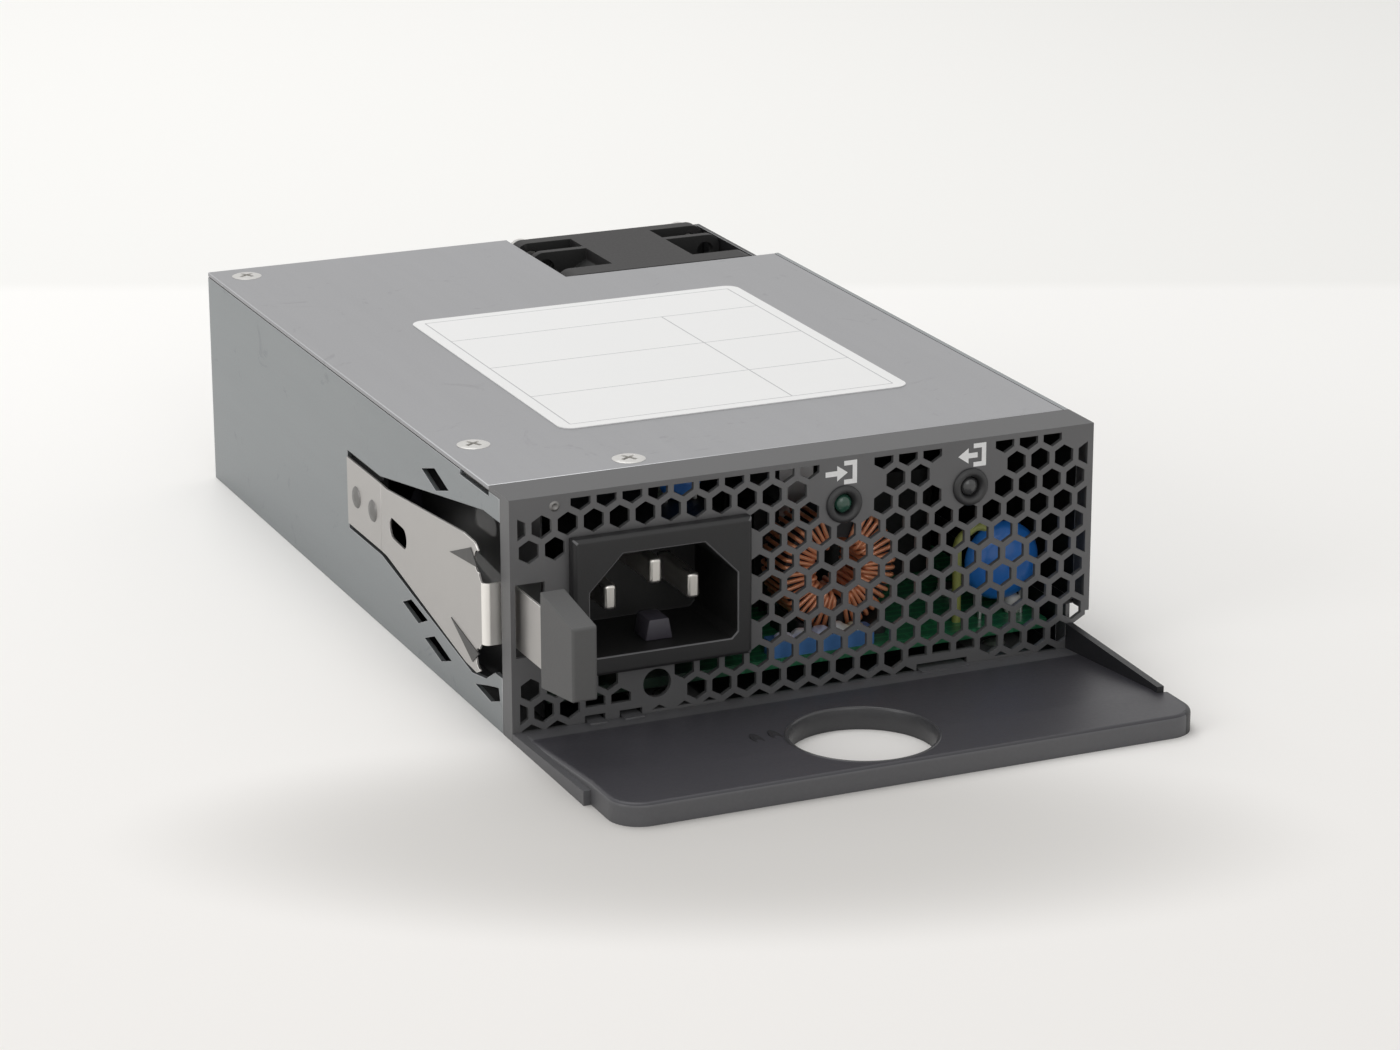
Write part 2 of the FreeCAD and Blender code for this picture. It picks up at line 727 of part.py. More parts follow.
inlet = new_body("inlet_housing")
half_flange = "inlet_width / 2"
half_tall = "inlet_tall / 2"
flange = rectangle(new_sketch(inlet, "front", "-1 * inlet_proud"), f"inlet_x - {half_flange}",
                   f"inlet_height - {half_tall}", f"inlet_x + {half_flange}", f"inlet_height + {half_tall}")
grow(inlet, flange, "inlet_proud")
soften(inlet, "0.8", lambda edge: abs(edge.CenterOfMass.y + size("inlet_proud")) < 0.01)
body_x = "(cavity_width / 2 + inlet_wall)"
body_z = "(cavity_tall / 2 + inlet_wall)"
grow(inlet, rectangle(new_sketch(inlet, "front", "0"), f"inlet_x - {body_x}", f"inlet_height - {body_z}",
                      f"inlet_x + {body_x}", f"inlet_height + {body_z}"), "inlet_depth")
cavity_left = "(inlet_x - cavity_width / 2)"
cavity_right = "(inlet_x + cavity_width / 2)"
cavity_low = "(inlet_height - cavity_tall / 2)"
cavity_high = "(inlet_height + cavity_tall / 2)"
cavity = polygon(new_sketch(inlet, "front", "-1 * inlet_proud"), [
    (cavity_left, f"{cavity_low} + 1"), (f"{cavity_left} + 1", cavity_low), (f"{cavity_right} - 1",
                                                                             cavity_low),
    (cavity_right, f"{cavity_low} + 1"), (cavity_right, f"{cavity_high} - cavity_slope"),
    ("inlet_x + cavity_top / 2", cavity_high), ("inlet_x - cavity_top / 2", cavity_high),
    (cavity_left, f"{cavity_high} - cavity_slope")])
cut(inlet, cavity, "cavity_depth")
line_z = "(inlet_height - pin_drop)"
earth_z = "(inlet_height + earth_rise)"
pin_slots = new_sketch(inlet, "front", "0")
pin_gap = "seam / 4"
pin_places = [("inlet_x - pin_spread", line_z), ("inlet_x + pin_spread", line_z), ("inlet_x", earth_z)]
for across, height in pin_places:
    rectangle(pin_slots, f"{across} - pin_width / 2 - {pin_gap}", f"{height} - pin_tall / 2 - {pin_gap}",
              f"{across} + pin_width / 2 + {pin_gap}", f"{height} + pin_tall / 2 + {pin_gap}")
cut(inlet, pin_slots, "inlet_depth + 1")


def pin_body(name, places, start):
    pins = new_body(name)
    outline = new_sketch(pins, "front", start)
    for across, height in places:
        rectangle(outline, f"{across} - pin_width / 2", f"{height} - pin_tall / 2",
                  f"{across} + pin_width / 2", f"{height} + pin_tall / 2")
    grow(pins, outline, f"inlet_depth + pin_tail - ({start})")
    legs = new_sketch(pins, "front", "inlet_depth + pin_tail - leg_thick")
    for across, height in places:
        rectangle(legs, f"{across} - pin_width / 2", "board_base + board_thick",
                  f"{across} + pin_width / 2",
                  f"{height} + pin_tall / 2")
    grow(pins, legs, "leg_thick")
    soften(pins, "0.5", lambda edge: abs(edge.CenterOfMass.y - edge.BoundBox.YMin) < 1e-6
           and edge.BoundBox.YLength < 1e-6 and edge.CenterOfMass.y < size("pin_setback") + 1)


pin_body("inlet_line_pins", pin_places[:2], "pin_setback")
pin_body("inlet_earth_pin", pin_places[2:], "pin_setback - 1.5")

# ---------------------------------------------------------------- pull handle

handle = new_body("pull_handle")
handle_left = f"({left} + cheek)"
handle_right = f"({key_x} + handle_side)"
handle_back = "-1 * seam"
slope = "((handle_lip - handle_rear) / handle_crease)"
plate = polygon(new_sketch(handle, "side", handle_left), [
    ("-1 * handle_reach", "0"), ("-1 * handle_reach", "handle_lip"), ("-1 * handle_crease", "handle_lip"),
    (handle_back, "handle_rear"), (handle_back, "0")])
grow(handle, plate, f"{handle_right} - {handle_left}")
cut(handle, rectangle(new_sketch(handle, "plan", "-1"), key_x, "-1 * cheek_reach", f"{right} + 1", "1"),
    "handle_lip + 2")
under = polygon(new_sketch(handle, "side", f"{handle_left} + handle_wall"), [
    ("handle_wall - handle_reach", "-1"), ("handle_wall - handle_reach", "handle_lip - handle_wall"),
    ("-1 * handle_crease", "handle_lip - handle_wall"),
    ("-1 * handle_solid", f"handle_rear + {slope} * handle_solid - handle_wall"), ("-1 * handle_solid",
                                                                                   "-1")])
cut(handle, under, f"{key_x} - {handle_left} - 2 * handle_wall")
ledge = polygon(new_sketch(handle, "side", left), [
    ("-1 * ledge_reach", "0"), (handle_back, "0"), (handle_back, "handle_rear"), ("-1 * ledge_reach",
                                                                                  "ledge_front")])
grow(handle, ledge, "cheek + seam")
cheek_side = polygon(new_sketch(handle, "side", f"{key_x} - cheek"), [
    ("-1 * cheek_reach", "0"), (handle_back, "0"), (handle_back, "cheek_rear"), ("-1 * cheek_reach",
                                                                                 "cheek_front")])
grow(handle, cheek_side, "cheek")
finger = ("finger_x", "-1 * finger_reach")
grow(handle, circle(new_sketch(handle, "plan"), *finger, "finger_radius + collar"), "handle_rear")
collar_top = f"handle_rear + {slope} * (finger_reach - finger_radius - collar)"
grow(handle, circle(new_sketch(handle, "plan"), *finger, "finger_radius + collar"), collar_top)
cut(handle, circle(new_sketch(handle, "plan", "-1"), *finger, "finger_radius"), "handle_lip + 2")
for near, far in hook_slots:
    prong = rectangle(new_sketch(handle, "front", f"{handle_back} - hook_depth / 2"),
                      f"{near} + hook_play", hook_low,
                      f"{far} - hook_play", f"{hook_low} + hook_tall")
    grow(handle, prong, "seam + 1.5 * hook_depth")
reach = size("handle_reach")
soften(handle, "handle_corner", lambda edge: edge.BoundBox.ZLength > 2 * size("handle_wall")
       and abs(edge.CenterOfMass.y + reach) < 0.01 and edge.BoundBox.XLength < 0.01)
soften(handle, "handle_wall / 2", lambda edge: abs(edge.CenterOfMass.z - size("handle_lip")) < 0.01
       and edge.CenterOfMass.y < size("handle_corner") - reach)

# ---------------------------------------------------------------- latch

window_face = f"({left} - leaf_proud)"
bracket = new_body("latch_bracket")
bracket_x = f"{left} + steel + seam / 2"
plate = rectangle(new_sketch(bracket, "side", bracket_x), "window_bend + 0.5",
                  "latch_height - window_half - 5",
                  "window_rear + 6", "latch_height + window_half + 5")
grow(bracket, plate, "steel")
pad_low = "latch_height - window_half + window_edge"
pad_high = "latch_height + window_half - window_edge"
raised = rectangle(new_sketch(bracket, "side", f"{window_face} + leaf"), "window_bend + 0.5", pad_low,
                   "window_rear - window_edge", pad_high)
grow(bracket, raised, "leaf_proud + steel + seam / 2 - leaf + 0.2")
rivet_spots = [("rivet_rear", "latch_height"), ("rivet_front", "latch_height")]
bracket_holes = new_sketch(bracket, "side", f"{window_face} - 1")
for along, height in rivet_spots:
    circle(bracket_holes, along, height, "rivet_radius + seam / 4")
cut(bracket, bracket_holes, "5")

root = new_body("latch_root")
root_plate = rectangle(new_sketch(root, "side", window_face), "bend_at + seam", pad_low,
                       "window_rear - 4 * seam", pad_high)
for along, height in rivet_spots:
    circle(root_plate, along, height, "rivet_radius + seam / 4")
grow(root, root_plate, "leaf")

blade = new_body("latch_blade")
tooth_x = f"({left} - tooth_proud)"
tooth_y = "tooth_front"
arm_out = f"({left} + arm_inset)"
blade_strip = polygon(new_sketch(blade, "plan", "latch_height - ear_half - 1"), [
    (window_face, "bend_at"), (tooth_x, tooth_y), (arm_out, tooth_y), (arm_out, "-1 * grip_end + grip_cap"),
    (f"{arm_out} + leaf", "-1 * grip_end + grip_cap"), (f"{arm_out} + leaf", f"{tooth_y} + leaf"),
    (f"{tooth_x} + leaf", f"{tooth_y} + leaf"), (f"{window_face} + leaf", "bend_at")])
grow(blade, blade_strip, "2 * ear_half + 2")


def at_fold(edge, x, y):
    upright = edge.BoundBox.ZLength > size("ear_half")
    return upright and abs(edge.CenterOfMass.x - x) < 0.01 and abs(edge.CenterOfMass.y - y) < 0.01


fold_out = -size("case_width") / 2 - size("tooth_proud")
fold_in = -size("case_width") / 2 + size("arm_inset") + size("leaf")
fold_y = size("tooth_front")
soften(blade, "fold_radius", lambda edge: at_fold(edge, fold_out, fold_y)
       or at_fold(edge, fold_in, fold_y + size("leaf")))
soften(blade, "fold_radius - leaf", lambda edge: at_fold(edge, fold_out + size("leaf"),
                                                         fold_y + size("leaf"))
       or at_fold(edge, fold_in - size("leaf"), fold_y))
root_half = "(window_half - window_edge)"
half_outline = [("bend_at + 1", root_half), ("bend_at - 3", root_half), ("ear_rear", "ear_half"),
                ("ear_front", "ear_half"), ("tooth_front + 2.4", "ear_half - 0.8"),
                ("tooth_front + 2.4", "tooth_half + 1"), ("tooth_front + 1.4", "tooth_half"),
                ("-1 * grip_end - 1", "tooth_half")]
outline = [(along, f"latch_height + {half}") for along, half in half_outline]
outline += [(along, f"latch_height - ({half})") for along, half in reversed(half_outline)]
trim = polygon(new_sketch(blade, "side", f"{tooth_x} - 1"), outline)
rectangle(trim, "-1 * grip_end - 2", "latch_height - ear_half - 2", "bend_at + 2",
          "latch_height + ear_half + 2")
cut(blade, trim, "tooth_proud + arm_inset + 4")
reliefs = new_sketch(blade, "side", f"{tooth_x} - 1")
for sign in "+-":
    circle(reliefs, "tooth_front + 2.6", f"latch_height {sign} (ear_half - notch_drop)", "notch_radius")
cut(blade, reliefs, "tooth_proud + arm_inset + 4")
eye = rectangle(new_sketch(blade, "side", f"{tooth_x} - 1"), "eye_front", "latch_height - eye_half",
                "eye_rear", "latch_height + eye_half")
cut(blade, eye, "4")
eye_ends = new_sketch(blade, "side", f"{tooth_x} - 1")
for along in ("eye_front", "eye_rear"):
    circle(eye_ends, along, "latch_height", "eye_half")
cut(blade, eye_ends, "4")

grip = new_body("latch_grip")
grip_x = f"({arm_out} - grip_skin)"
grip_side = polygon(new_sketch(grip, "side", grip_x), [
    ("-1 * grip_start", "latch_height - grip_rear_half"), ("-1 * grip_start",
                                                           "latch_height + grip_rear_half"),
    ("-1 * grip_end", "latch_height + grip_front_half"), ("-1 * grip_end",
                                                          "latch_height - grip_front_half")])
grow(grip, grip_side, "grip_thick")
soften(grip, "0.5", lambda edge: abs(edge.CenterOfMass.y + size("grip_end")) < 0.01)
mouth = rectangle(new_sketch(grip, "front", "-1 * grip_end + grip_cap - seam / 2"), f"{arm_out} - seam / 4",
                  "latch_height - tooth_half - seam / 4", f"{arm_out} + leaf + seam / 4",
                  "latch_height + tooth_half + seam / 4")
cut(grip, mouth, "grip_end")

dome_set = []
for along in ("rivet_rear", "rivet_front"):
    stem_length = size("leaf") + size("leaf_proud") + 2 * size("steel") + size("seam")
    stem = Part.makeCylinder(size("rivet_radius"), stem_length, Vector(0, 0, 0), Vector(1, 0, 0))
    crown = Part.makeCone(size("rivet_radius"), size("rivet_head"), size("rivet_dome"),
                          Vector(-size("rivet_dome"), 0, 0), Vector(1, 0, 0))
    tail = Part.makeCone(size("rivet_head") * 0.9, size("rivet_radius"), size("rivet_dome"),
                         Vector(stem_length, 0, 0), Vector(1, 0, 0))
    rivet = stem.fuse([crown, tail])
    rivet.translate(Vector(-size("case_width") / 2 - size("leaf_proud"), size(along), size("latch_height")))
    dome_set.append(rivet)
solid_node("latch_rivets", Part.makeCompound(dome_set))

# ---------------------------------------------------------------- fan

fan_base_y = "-case_length / 2 + fan_y"
half_fan = "fan_side / 2"
frame = new_body("fan_frame", y=fan_base_y, x=fan_x, z=fan_z)
plates = [("0", "fan_flange"), ("fan_rib_at", "fan_rib"), ("fan_depth - fan_flange_rear",
                                                           "fan_flange_rear")]
for at, thick in plates:
    plate = rectangle(new_sketch(frame, "front", at), f"-1 * {half_fan}", f"-1 * {half_fan}", half_fan,
                      half_fan)
    grow(frame, plate, thick)
soften(frame, "fan_corner", lambda edge: edge.BoundBox.YLength > 0.5)
grow(frame, circle(new_sketch(frame, "front"), "0", "0", f"{half_fan} - 3 * seam"), "fan_depth")
for wide, high in (("fan_land / 2", half_fan), (half_fan, "fan_land / 2")):
    land = rectangle(new_sketch(frame, "front"), f"-1 * {wide}", f"-1 * {high}", wide, high)
    grow(frame, land, "fan_depth")
cut(frame, circle(new_sketch(frame, "front", "-1"), "0", "0", "fan_bore"), "fan_depth + 2")
frame_holes = new_sketch(frame, "front", "-1")
for a in "+-":
    for b in "+-":
        circle(frame_holes, f"0 {a} fan_hole_pitch / 2", f"0 {b} fan_hole_pitch / 2", "fan_hole")
cut(frame, frame_holes, "fan_depth + 2")
strut_y = "fan_depth - fan_strut"
grow(frame, circle(new_sketch(frame, "front", strut_y), "0", "0", "fan_base"), "fan_strut")
strut = rectangle(new_sketch(frame, "front", strut_y), "0", "-1 * fan_strut / 2", "fan_bore + 0.3",
                  "fan_strut / 2")
polar(frame, [grow(frame, strut, "fan_strut")], 4)
grow(frame, circle(new_sketch(frame, "front", "hub_front + 2"), "0", "0", "spindle"),
     f"{strut_y} - hub_front - 1")

rotor = new_body("fan_rotor", y=fan_base_y, x=fan_x, z=fan_z)
revolve(rotor, [("spindle + rotor_bearing", "hub_front + 1.5"), ("0", "hub_front + 1.5"), ("0",
                                                                                           "hub_front"),
                ("hub_radius", "hub_front"), ("hub_radius", "hub_rear"), ("spindle + rotor_bearing",
                                                                          "hub_rear")])
middle = "(hub_front + hub_rear) / 2"
sections = []
for at, rise, sweep in (("hub_radius - 1", "blade_rise_root", "blade_sweep_root"),
                        ("blade_tip", "blade_rise_tip", "blade_sweep_tip")):
    sections.append(polygon(new_sketch(rotor, "side", at), [
        (f"{middle} - {rise} / 2", f"-1 * {sweep} / 2 - blade_thick / 2"),
        (f"{middle} + {rise} / 2", f"{sweep} / 2 - blade_thick / 2"),
        (f"{middle} + {rise} / 2", f"{sweep} / 2 + blade_thick / 2"),
        (f"{middle} - {rise} / 2", f"-1 * {sweep} / 2 + blade_thick / 2")]))
vane = rotor.newObject("PartDesign::AdditiveLoft", "Vane")
vane.Profile = sections[0]
vane.Sections = [sections[1]]
vane.Ruled = True
polar(rotor, [vane], 7)

guard = new_body("fan_guard", y="case_length / 2", x=fan_x, z=fan_z)
guard_side = f"{half_fan} - fan_corner / 2"
guard_plate = rectangle(new_sketch(guard, "front"), f"-1 * ({guard_side})", f"-1 * ({guard_side})",
                        guard_side, guard_side)
for a in "+-":
    for b in "+-":
        circle(guard_plate, f"0 {a} fan_hole_pitch / 2", f"0 {b} fan_hole_pitch / 2", "fan_hole")
circle(guard_plate, "0", "0", "fan_bore - guard_rib / 2")
grow(guard, guard_plate, "steel")
guard_rings = ["fan_bore / 3", "fan_bore * 2 / 3"]
for ring in guard_rings:
    band = circle(new_sketch(guard, "front"), "0", "0", f"{ring} + guard_rib / 2")
    circle(band, "0", "0", f"{ring} - guard_rib / 2")
    grow(guard, band, "steel")
arm = rectangle(new_sketch(guard, "front"), "fan_bore / 3", "-1 * guard_rib / 2", "fan_bore",
                "guard_rib / 2")
polar(guard, [grow(guard, arm, "steel")], 4)

fan_screw_set = []
screw_reach = 2 * size("steel") + size("seam") + size("fan_flange_rear")
for a in (-1, 1):
    for b in (-1, 1):
        shank = Part.makeCylinder(size("fan_hole") - size("seam"), screw_reach, Vector(0, -screw_reach, 0),
                                  Vector(0, 1, 0))
        crown = Part.makeCylinder(size("fan_hole") + 0.9, size("steel") * 1.2, Vector(0, 0, 0), Vector(0,
                                                                                                       1, 0))
        screw = shank.fuse(crown)
        screw.translate(Vector(a * size("fan_hole_pitch") / 2, 0, b * size("fan_hole_pitch") / 2))
        fan_screw_set.append(screw)
solid_node("fan_screws", Part.makeCompound(fan_screw_set), y="case_length / 2 + steel", x=fan_x, z=fan_z)

# ---------------------------------------------------------------- circuit board

board = new_body("main_board")
board_left = f"({left} + steel + board_side)"
board_right = f"({key_x} - steel - board_side)"
board_back = f"({fan_front} - board_fan_gap)"
board_plan = polygon(new_sketch(board, "plan", "board_base"), [
    (f"{board_left} + board_notch", "board_start"), (board_right, "board_start"), (board_right, board_back),
    ("edge_right", board_back), ("edge_right", "case_length + edge_reach"),
    ("edge_left", "case_length + edge_reach"), ("edge_left", "case_length - 6"), (board_left,
                                                                                  "case_length - 6"),
    (board_left, "board_notch_reach"), (f"{board_left} + board_notch", "board_notch_reach")])
board_posts = [("post_left_x", "post_front_y"), ("post_left_x", "post_rear_y"), ("post_right_x",
                                                                                 "post_front_y"),
               ("post_right_x", "post_rear_y"), ("post_mid_x", "bulk_y")]
for across, along in board_posts:
    circle(board_plan, across, along, "post_shank + seam")
grow(board, board_plan, "board_thick")


def six_sided(reach, tall):
    """A hexagonal bar along Z, `reach` from its axis to a corner."""
    corners = [Vector(reach * math.cos(k * math.pi / 3), reach * math.sin(k * math.pi / 3),
                      0) for k in range(7)]
    return Part.Face(Part.makePolygon(corners)).extrude(Vector(0, 0, tall))


post_set = []
board_screw_set = []
post_height = size("board_base") - size("steel")
for across, along in board_posts:
    spot = Vector(size(across), size(along), 0)
    post = six_sided(size("post_radius"), post_height).translated(Vector(0, 0, size("steel")))
    bore = six_sided(size("post_shank") * 1.2, post_height).translated(Vector(0, 0, size("steel") + 0.4))
    post_set.append(post.cut(bore).translated(spot))
    top = size("board_base") + size("board_thick")
    shank_length = post_height + size("board_thick") - 1
    shank = six_sided(size("post_shank"), shank_length).translated(Vector(0, 0, top - shank_length))
    crown = six_sided(size("post_shank") * 2, size("post_shank") * 1.2).translated(Vector(0, 0, top))
    board_screw_set.append(shank.fuse(crown).translated(spot))
solid_node("board_standoffs", Part.makeCompound(post_set))
solid_node("board_screws", Part.makeCompound(board_screw_set))

film = new_body("insulating_sheet")
film_plan = rectangle(new_sketch(film, "plan", "steel + seam / 2"), f"{board_left} + 1", "board_start + 8",
                      f"{board_right} - 1", f"{board_back} - 1")
room = "(post_radius + seam)"
for across, along in board_posts:
    rectangle(film_plan, f"{across} - {room}", f"{along} - {room}", f"{across} + {room}",
              f"{along} + {room}")
grow(film, film_plan, "film")

contact_set = []
contact_count = int((size("edge_right") - size("edge_left") - 2) / size("contact_pitch"))
first_contact = (size("edge_left") + size("edge_right")) / 2 - (contact_count - 1) * size("contact_pitch") / 2
for side in (size("board_base") - size("contact_thick"), size("board_base") + size("board_thick")):
    for i in range(contact_count):
        x = first_contact + i * size("contact_pitch") - size("contact_width") / 2
        contact_set.append(Part.makeBox(size("contact_width"), size("contact_length"),
                                        size("contact_thick"),
                                        Vector(x, size("case_length") + size("edge_reach") - 0.8
                                               - size("contact_length"), side)))
solid_node("output_contacts", Part.makeCompound(contact_set))

# ---------------------------------------------------------------- parts on the board

board_top = "board_base + board_thick"
film_top = f"{board_top} + film_cap_tall"


def block(name, x0, y0, width, depth, tall, base=board_top, radius=None):
    """A moulded box that stands on the board."""
    piece = new_body(name)
    outline = rectangle(new_sketch(piece, "plan", base), x0, y0, f"{x0} + {width}", f"{y0} + {depth}")
    grow(piece, outline, tall)
    if radius:
        soften(piece, radius, lambda edge: edge.BoundBox.ZLength > 0.5)
    return piece


block("filter_capacitor", "film_cap_x - film_cap_width / 2", "film_cap_y - film_cap_depth / 2",
      "film_cap_width", "film_cap_depth", "film_cap_tall", radius="0.5")
block("capacitor_potting", "film_cap_x - film_cap_width / 2 + 2", "film_cap_y - film_cap_depth / 2 + 0.4",
      "film_cap_width - 4", "film_cap_depth - 0.8", "1.2", base=film_top)

# common mode choke, its ring standing upright across the airflow
choke_z = f"({board_top} + cradle + core_outer + wire + seam)"
choke_place = {"y": "-case_length / 2 + choke_y", "x": "choke_x", "z": choke_z}
core = new_body("choke_core", **choke_place)
revolve(core, [("core_inner", "-1 * core_length / 2"), ("core_outer", "-1 * core_length / 2"),
               ("core_outer", "core_length / 2"), ("core_inner", "core_length / 2")])
winding = new_body("choke_winding", **choke_place)
turns = []
for sign in ("", "-1 * "):
    turn = new_sketch(winding, "plan", "-1 * wire / 2")
    slack = "seam / 4"
    rectangle(turn, f"{sign}(core_inner - {slack})", f"-1 * core_length / 2 - {slack}",
              f"{sign}(core_outer + {slack})", f"core_length / 2 + {slack}")
    rectangle(turn, f"{sign}(core_inner - wire)", "-1 * core_length / 2 - wire",
              f"{sign}(core_outer + wire)", "core_length / 2 + wire")
    turns.append(grow(winding, turn, "wire"))
polar(winding, turns, 9, 130.0)
winding.Placement.Rotation = FreeCAD.Rotation(Vector(0, 1, 0), -65)
cradle_half = "(core_outer - 1.5)"
cradle_body = block("choke_base", f"choke_x - {cradle_half}", "choke_y - core_length / 2 - 2",
                    f"2 * {cradle_half}", "core_length + 4", "cradle + core_outer / 3", radius="1")
cut(cradle_body, circle(new_sketch(cradle_body, "front"), "choke_x", choke_z, "core_outer + wire + seam"))

varistor = new_body("varistor_disc", x="varistor_x")
varistor_z = f"({board_top} + varistor_radius + varistor_rise)"
grow(varistor, circle(new_sketch(varistor, "front", "varistor_y - varistor_thick / 2"), "0", varistor_z,
                      "varistor_radius"), "varistor_thick")
leads = new_sketch(varistor, "plan", board_top)
for sign in "+-":
    lead_x = f"0 {sign} lead_spread"
    rectangle(leads, f"{lead_x} - lead / 2", "varistor_y - lead / 2", f"{lead_x} + lead / 2",
              "varistor_y + lead / 2")
grow(varistor, leads, "varistor_rise + varistor_radius / 2")

# suppression capacitor on top of the inlet, its leads running back and down to the board
ycap = new_body("class_y_capacitor", x="ycap_x")
ycap_z = f"(inlet_height + {body_z} + seam + ycap_radius)"
grow(ycap, circle(new_sketch(ycap, "front", "ycap_y - ycap_thick / 2"), "0", ycap_z, "ycap_radius"),
     "ycap_thick")
lead_back = "(inlet_depth + pin_tail + 2 * lead)"
back_leads = new_sketch(ycap, "front", "ycap_y")
down_leads = new_sketch(ycap, "plan", board_top)
for sign in "+-":
    lead_x = f"0 {sign} ycap_radius / 2"
    rectangle(back_leads, f"{lead_x} - lead / 2", f"{ycap_z} - lead / 2", f"{lead_x} + lead / 2",
              f"{ycap_z} + lead / 2")
    rectangle(down_leads, f"{lead_x} - lead / 2", f"{lead_back} - lead", f"{lead_x} + lead / 2", lead_back)
grow(ycap, back_leads, f"{lead_back} - ycap_y")
grow(ycap, down_leads, f"{ycap_z} - ({board_top})")

# ---------------------------------------------------------------- power stage

bulk_set = []
bulk_radius = size("bulk_radius")
board_top_z = size("board_base") + size("board_thick")
for i in range(2):
    can = Part.makeCylinder(bulk_radius, size("bulk_length"), Vector(0, 0, 0), Vector(0, 1, 0))
    x = size("bulk_x") + i * (2 * bulk_radius + size("bulk_gap"))
    bulk_set.append(can.translated(Vector(x, size("bulk_y"), board_top_z + size("seam") + bulk_radius)))
solid_node("bulk_capacitors", Part.makeCompound(bulk_set))

ferrite = block("power_transformer", "ferrite_x", "ferrite_y", "ferrite_width", "ferrite_length",
                "ferrite_tall")
windows = new_sketch(ferrite, "side", "ferrite_x - 1")
leg = "ferrite_length / 5"
window_low = f"{board_top} + {leg}"
window_high = f"{board_top} + ferrite_tall - {leg}"
rectangle(windows, f"ferrite_y + {leg} / 2", window_low, f"ferrite_y + 2 * {leg}", window_high)
rectangle(windows, f"ferrite_y + 3 * {leg}", window_low, f"ferrite_y + ferrite_length - {leg} / 2",
          window_high)
cut(ferrite, windows, "ferrite_width + 2")
bobbin = new_body("transformer_winding")
spool = new_sketch(bobbin, "plan", f"{window_low} + seam")
rectangle(spool, "ferrite_x - 3", f"ferrite_y + {leg} / 2 + seam", "ferrite_x + ferrite_width + 3",
          f"ferrite_y + ferrite_length - {leg} / 2 - seam")
rectangle(spool, "ferrite_x - seam", f"ferrite_y + 2 * {leg} - seam", "ferrite_x + ferrite_width + seam",
          f"ferrite_y + 3 * {leg} + seam")
grow(bobbin, spool, f"ferrite_tall - 2 * {leg} - 2 * seam")


def heatsink(name, x, y, length, tall, fins):
    """An upright plate with fins along one side, as an extruded profile."""
    sink = new_body(name)
    plate = rectangle(new_sketch(sink, "plan", board_top), x, y, f"{x} + sink_plate", f"{y} + {length}")
    grow(sink, plate, tall)
    comb = new_sketch(sink, "plan", board_top)
    for i in range(fins):
        start = f"{y} + {i} * ({length} - fin_thick) / {fins - 1}"
        rectangle(comb, f"{x} + sink_plate / 2", start, f"{x} + sink_plate + sink_fin",
                  f"{start} + fin_thick")
    grow(sink, comb, tall)
    return sink


heatsink("primary_heatsink", "sink_x", "sink_y", "sink_length", "sink_tall", 7)
second_sink_y = f"({board_back} - sink_length / 2 - second_sink_gap)"
heatsink("secondary_heatsink", "sink_x", second_sink_y, "sink_length / 2", "sink_tall", 4)
transistor_set = []
thick = size("package_thick")
wide = size("package_width")
lift = size("package_lift")
leg_side = size("package_leg")
for i in range(3):
    x = size("sink_x") - thick - size("seam") / 2
    y = size("sink_y") + size("seam") + size("package_pitch") * i
    package = Part.makeBox(thick, wide, size("package_tall"), Vector(x, y, board_top_z + lift))
    for j in (-1, 0, 1):
        leg_y = y + wide / 2 + size("package_leg_pitch") * j - leg_side / 2
        package = package.fuse(Part.makeBox(leg_side, leg_side, lift + leg_side, Vector(x + thick / 2,
                                                                                        leg_y, board_top_z)))
    transistor_set.append(package)
solid_node("power_transistors", Part.makeCompound(transistor_set))
block("boost_choke", "ferrite_x", "boost_y", "boost_side", "boost_side", "boost_tall",
      radius="boost_side / 6")

# ---------------------------------------------------------------- lamps and label

holders = new_body("light_holders")
for lamp in ("lamp_in_x", "lamp_out_x"):
    grow(holders, circle(new_sketch(holders, "front", "-1 * holder_proud"), lamp, "lamp_height",
                         "holder_radius"),
         "holder_proud")
    grow(holders, circle(new_sketch(holders, "front"), lamp, "lamp_height", "holder_neck"), "holder_depth")
bores = new_sketch(holders, "front", "-1 * holder_proud - 1")
for lamp in ("lamp_in_x", "lamp_out_x"):
    circle(bores, lamp, "lamp_height", "lens_radius + seam / 4")
cut(holders, bores, "holder_depth + holder_proud + 2")
for name, lamp in (("status_light_in", "lamp_in_x"), ("status_light_out", "lamp_out_x")):
    lens = new_body(name, x=lamp, z="lamp_height")
    lens_face = "(-1 * holder_proud + 3 * seam)"
    revolve(lens, [("0", f"{lens_face} - lens_proud"), ("lens_radius * 0.6",
                                                        f"{lens_face} - lens_proud * 0.85"),
                   ("lens_radius", lens_face), ("lens_radius", "holder_depth + 1"), ("0",
                                                                                     "holder_depth + 1")])

label = new_body("rating_label")
label_plan = rectangle(new_sketch(label, "plan", "case_height"), "label_x - label_width / 2",
                       "label_y - label_length / 2", "label_x + label_width / 2", "label_y + label_length / 2")
grow(label, label_plan, "label_thick")
soften(label, "label_corner", lambda edge: edge.BoundBox.ZLength > size("label_thick") / 2)

# ---------------------------------------------------------------- checks and files

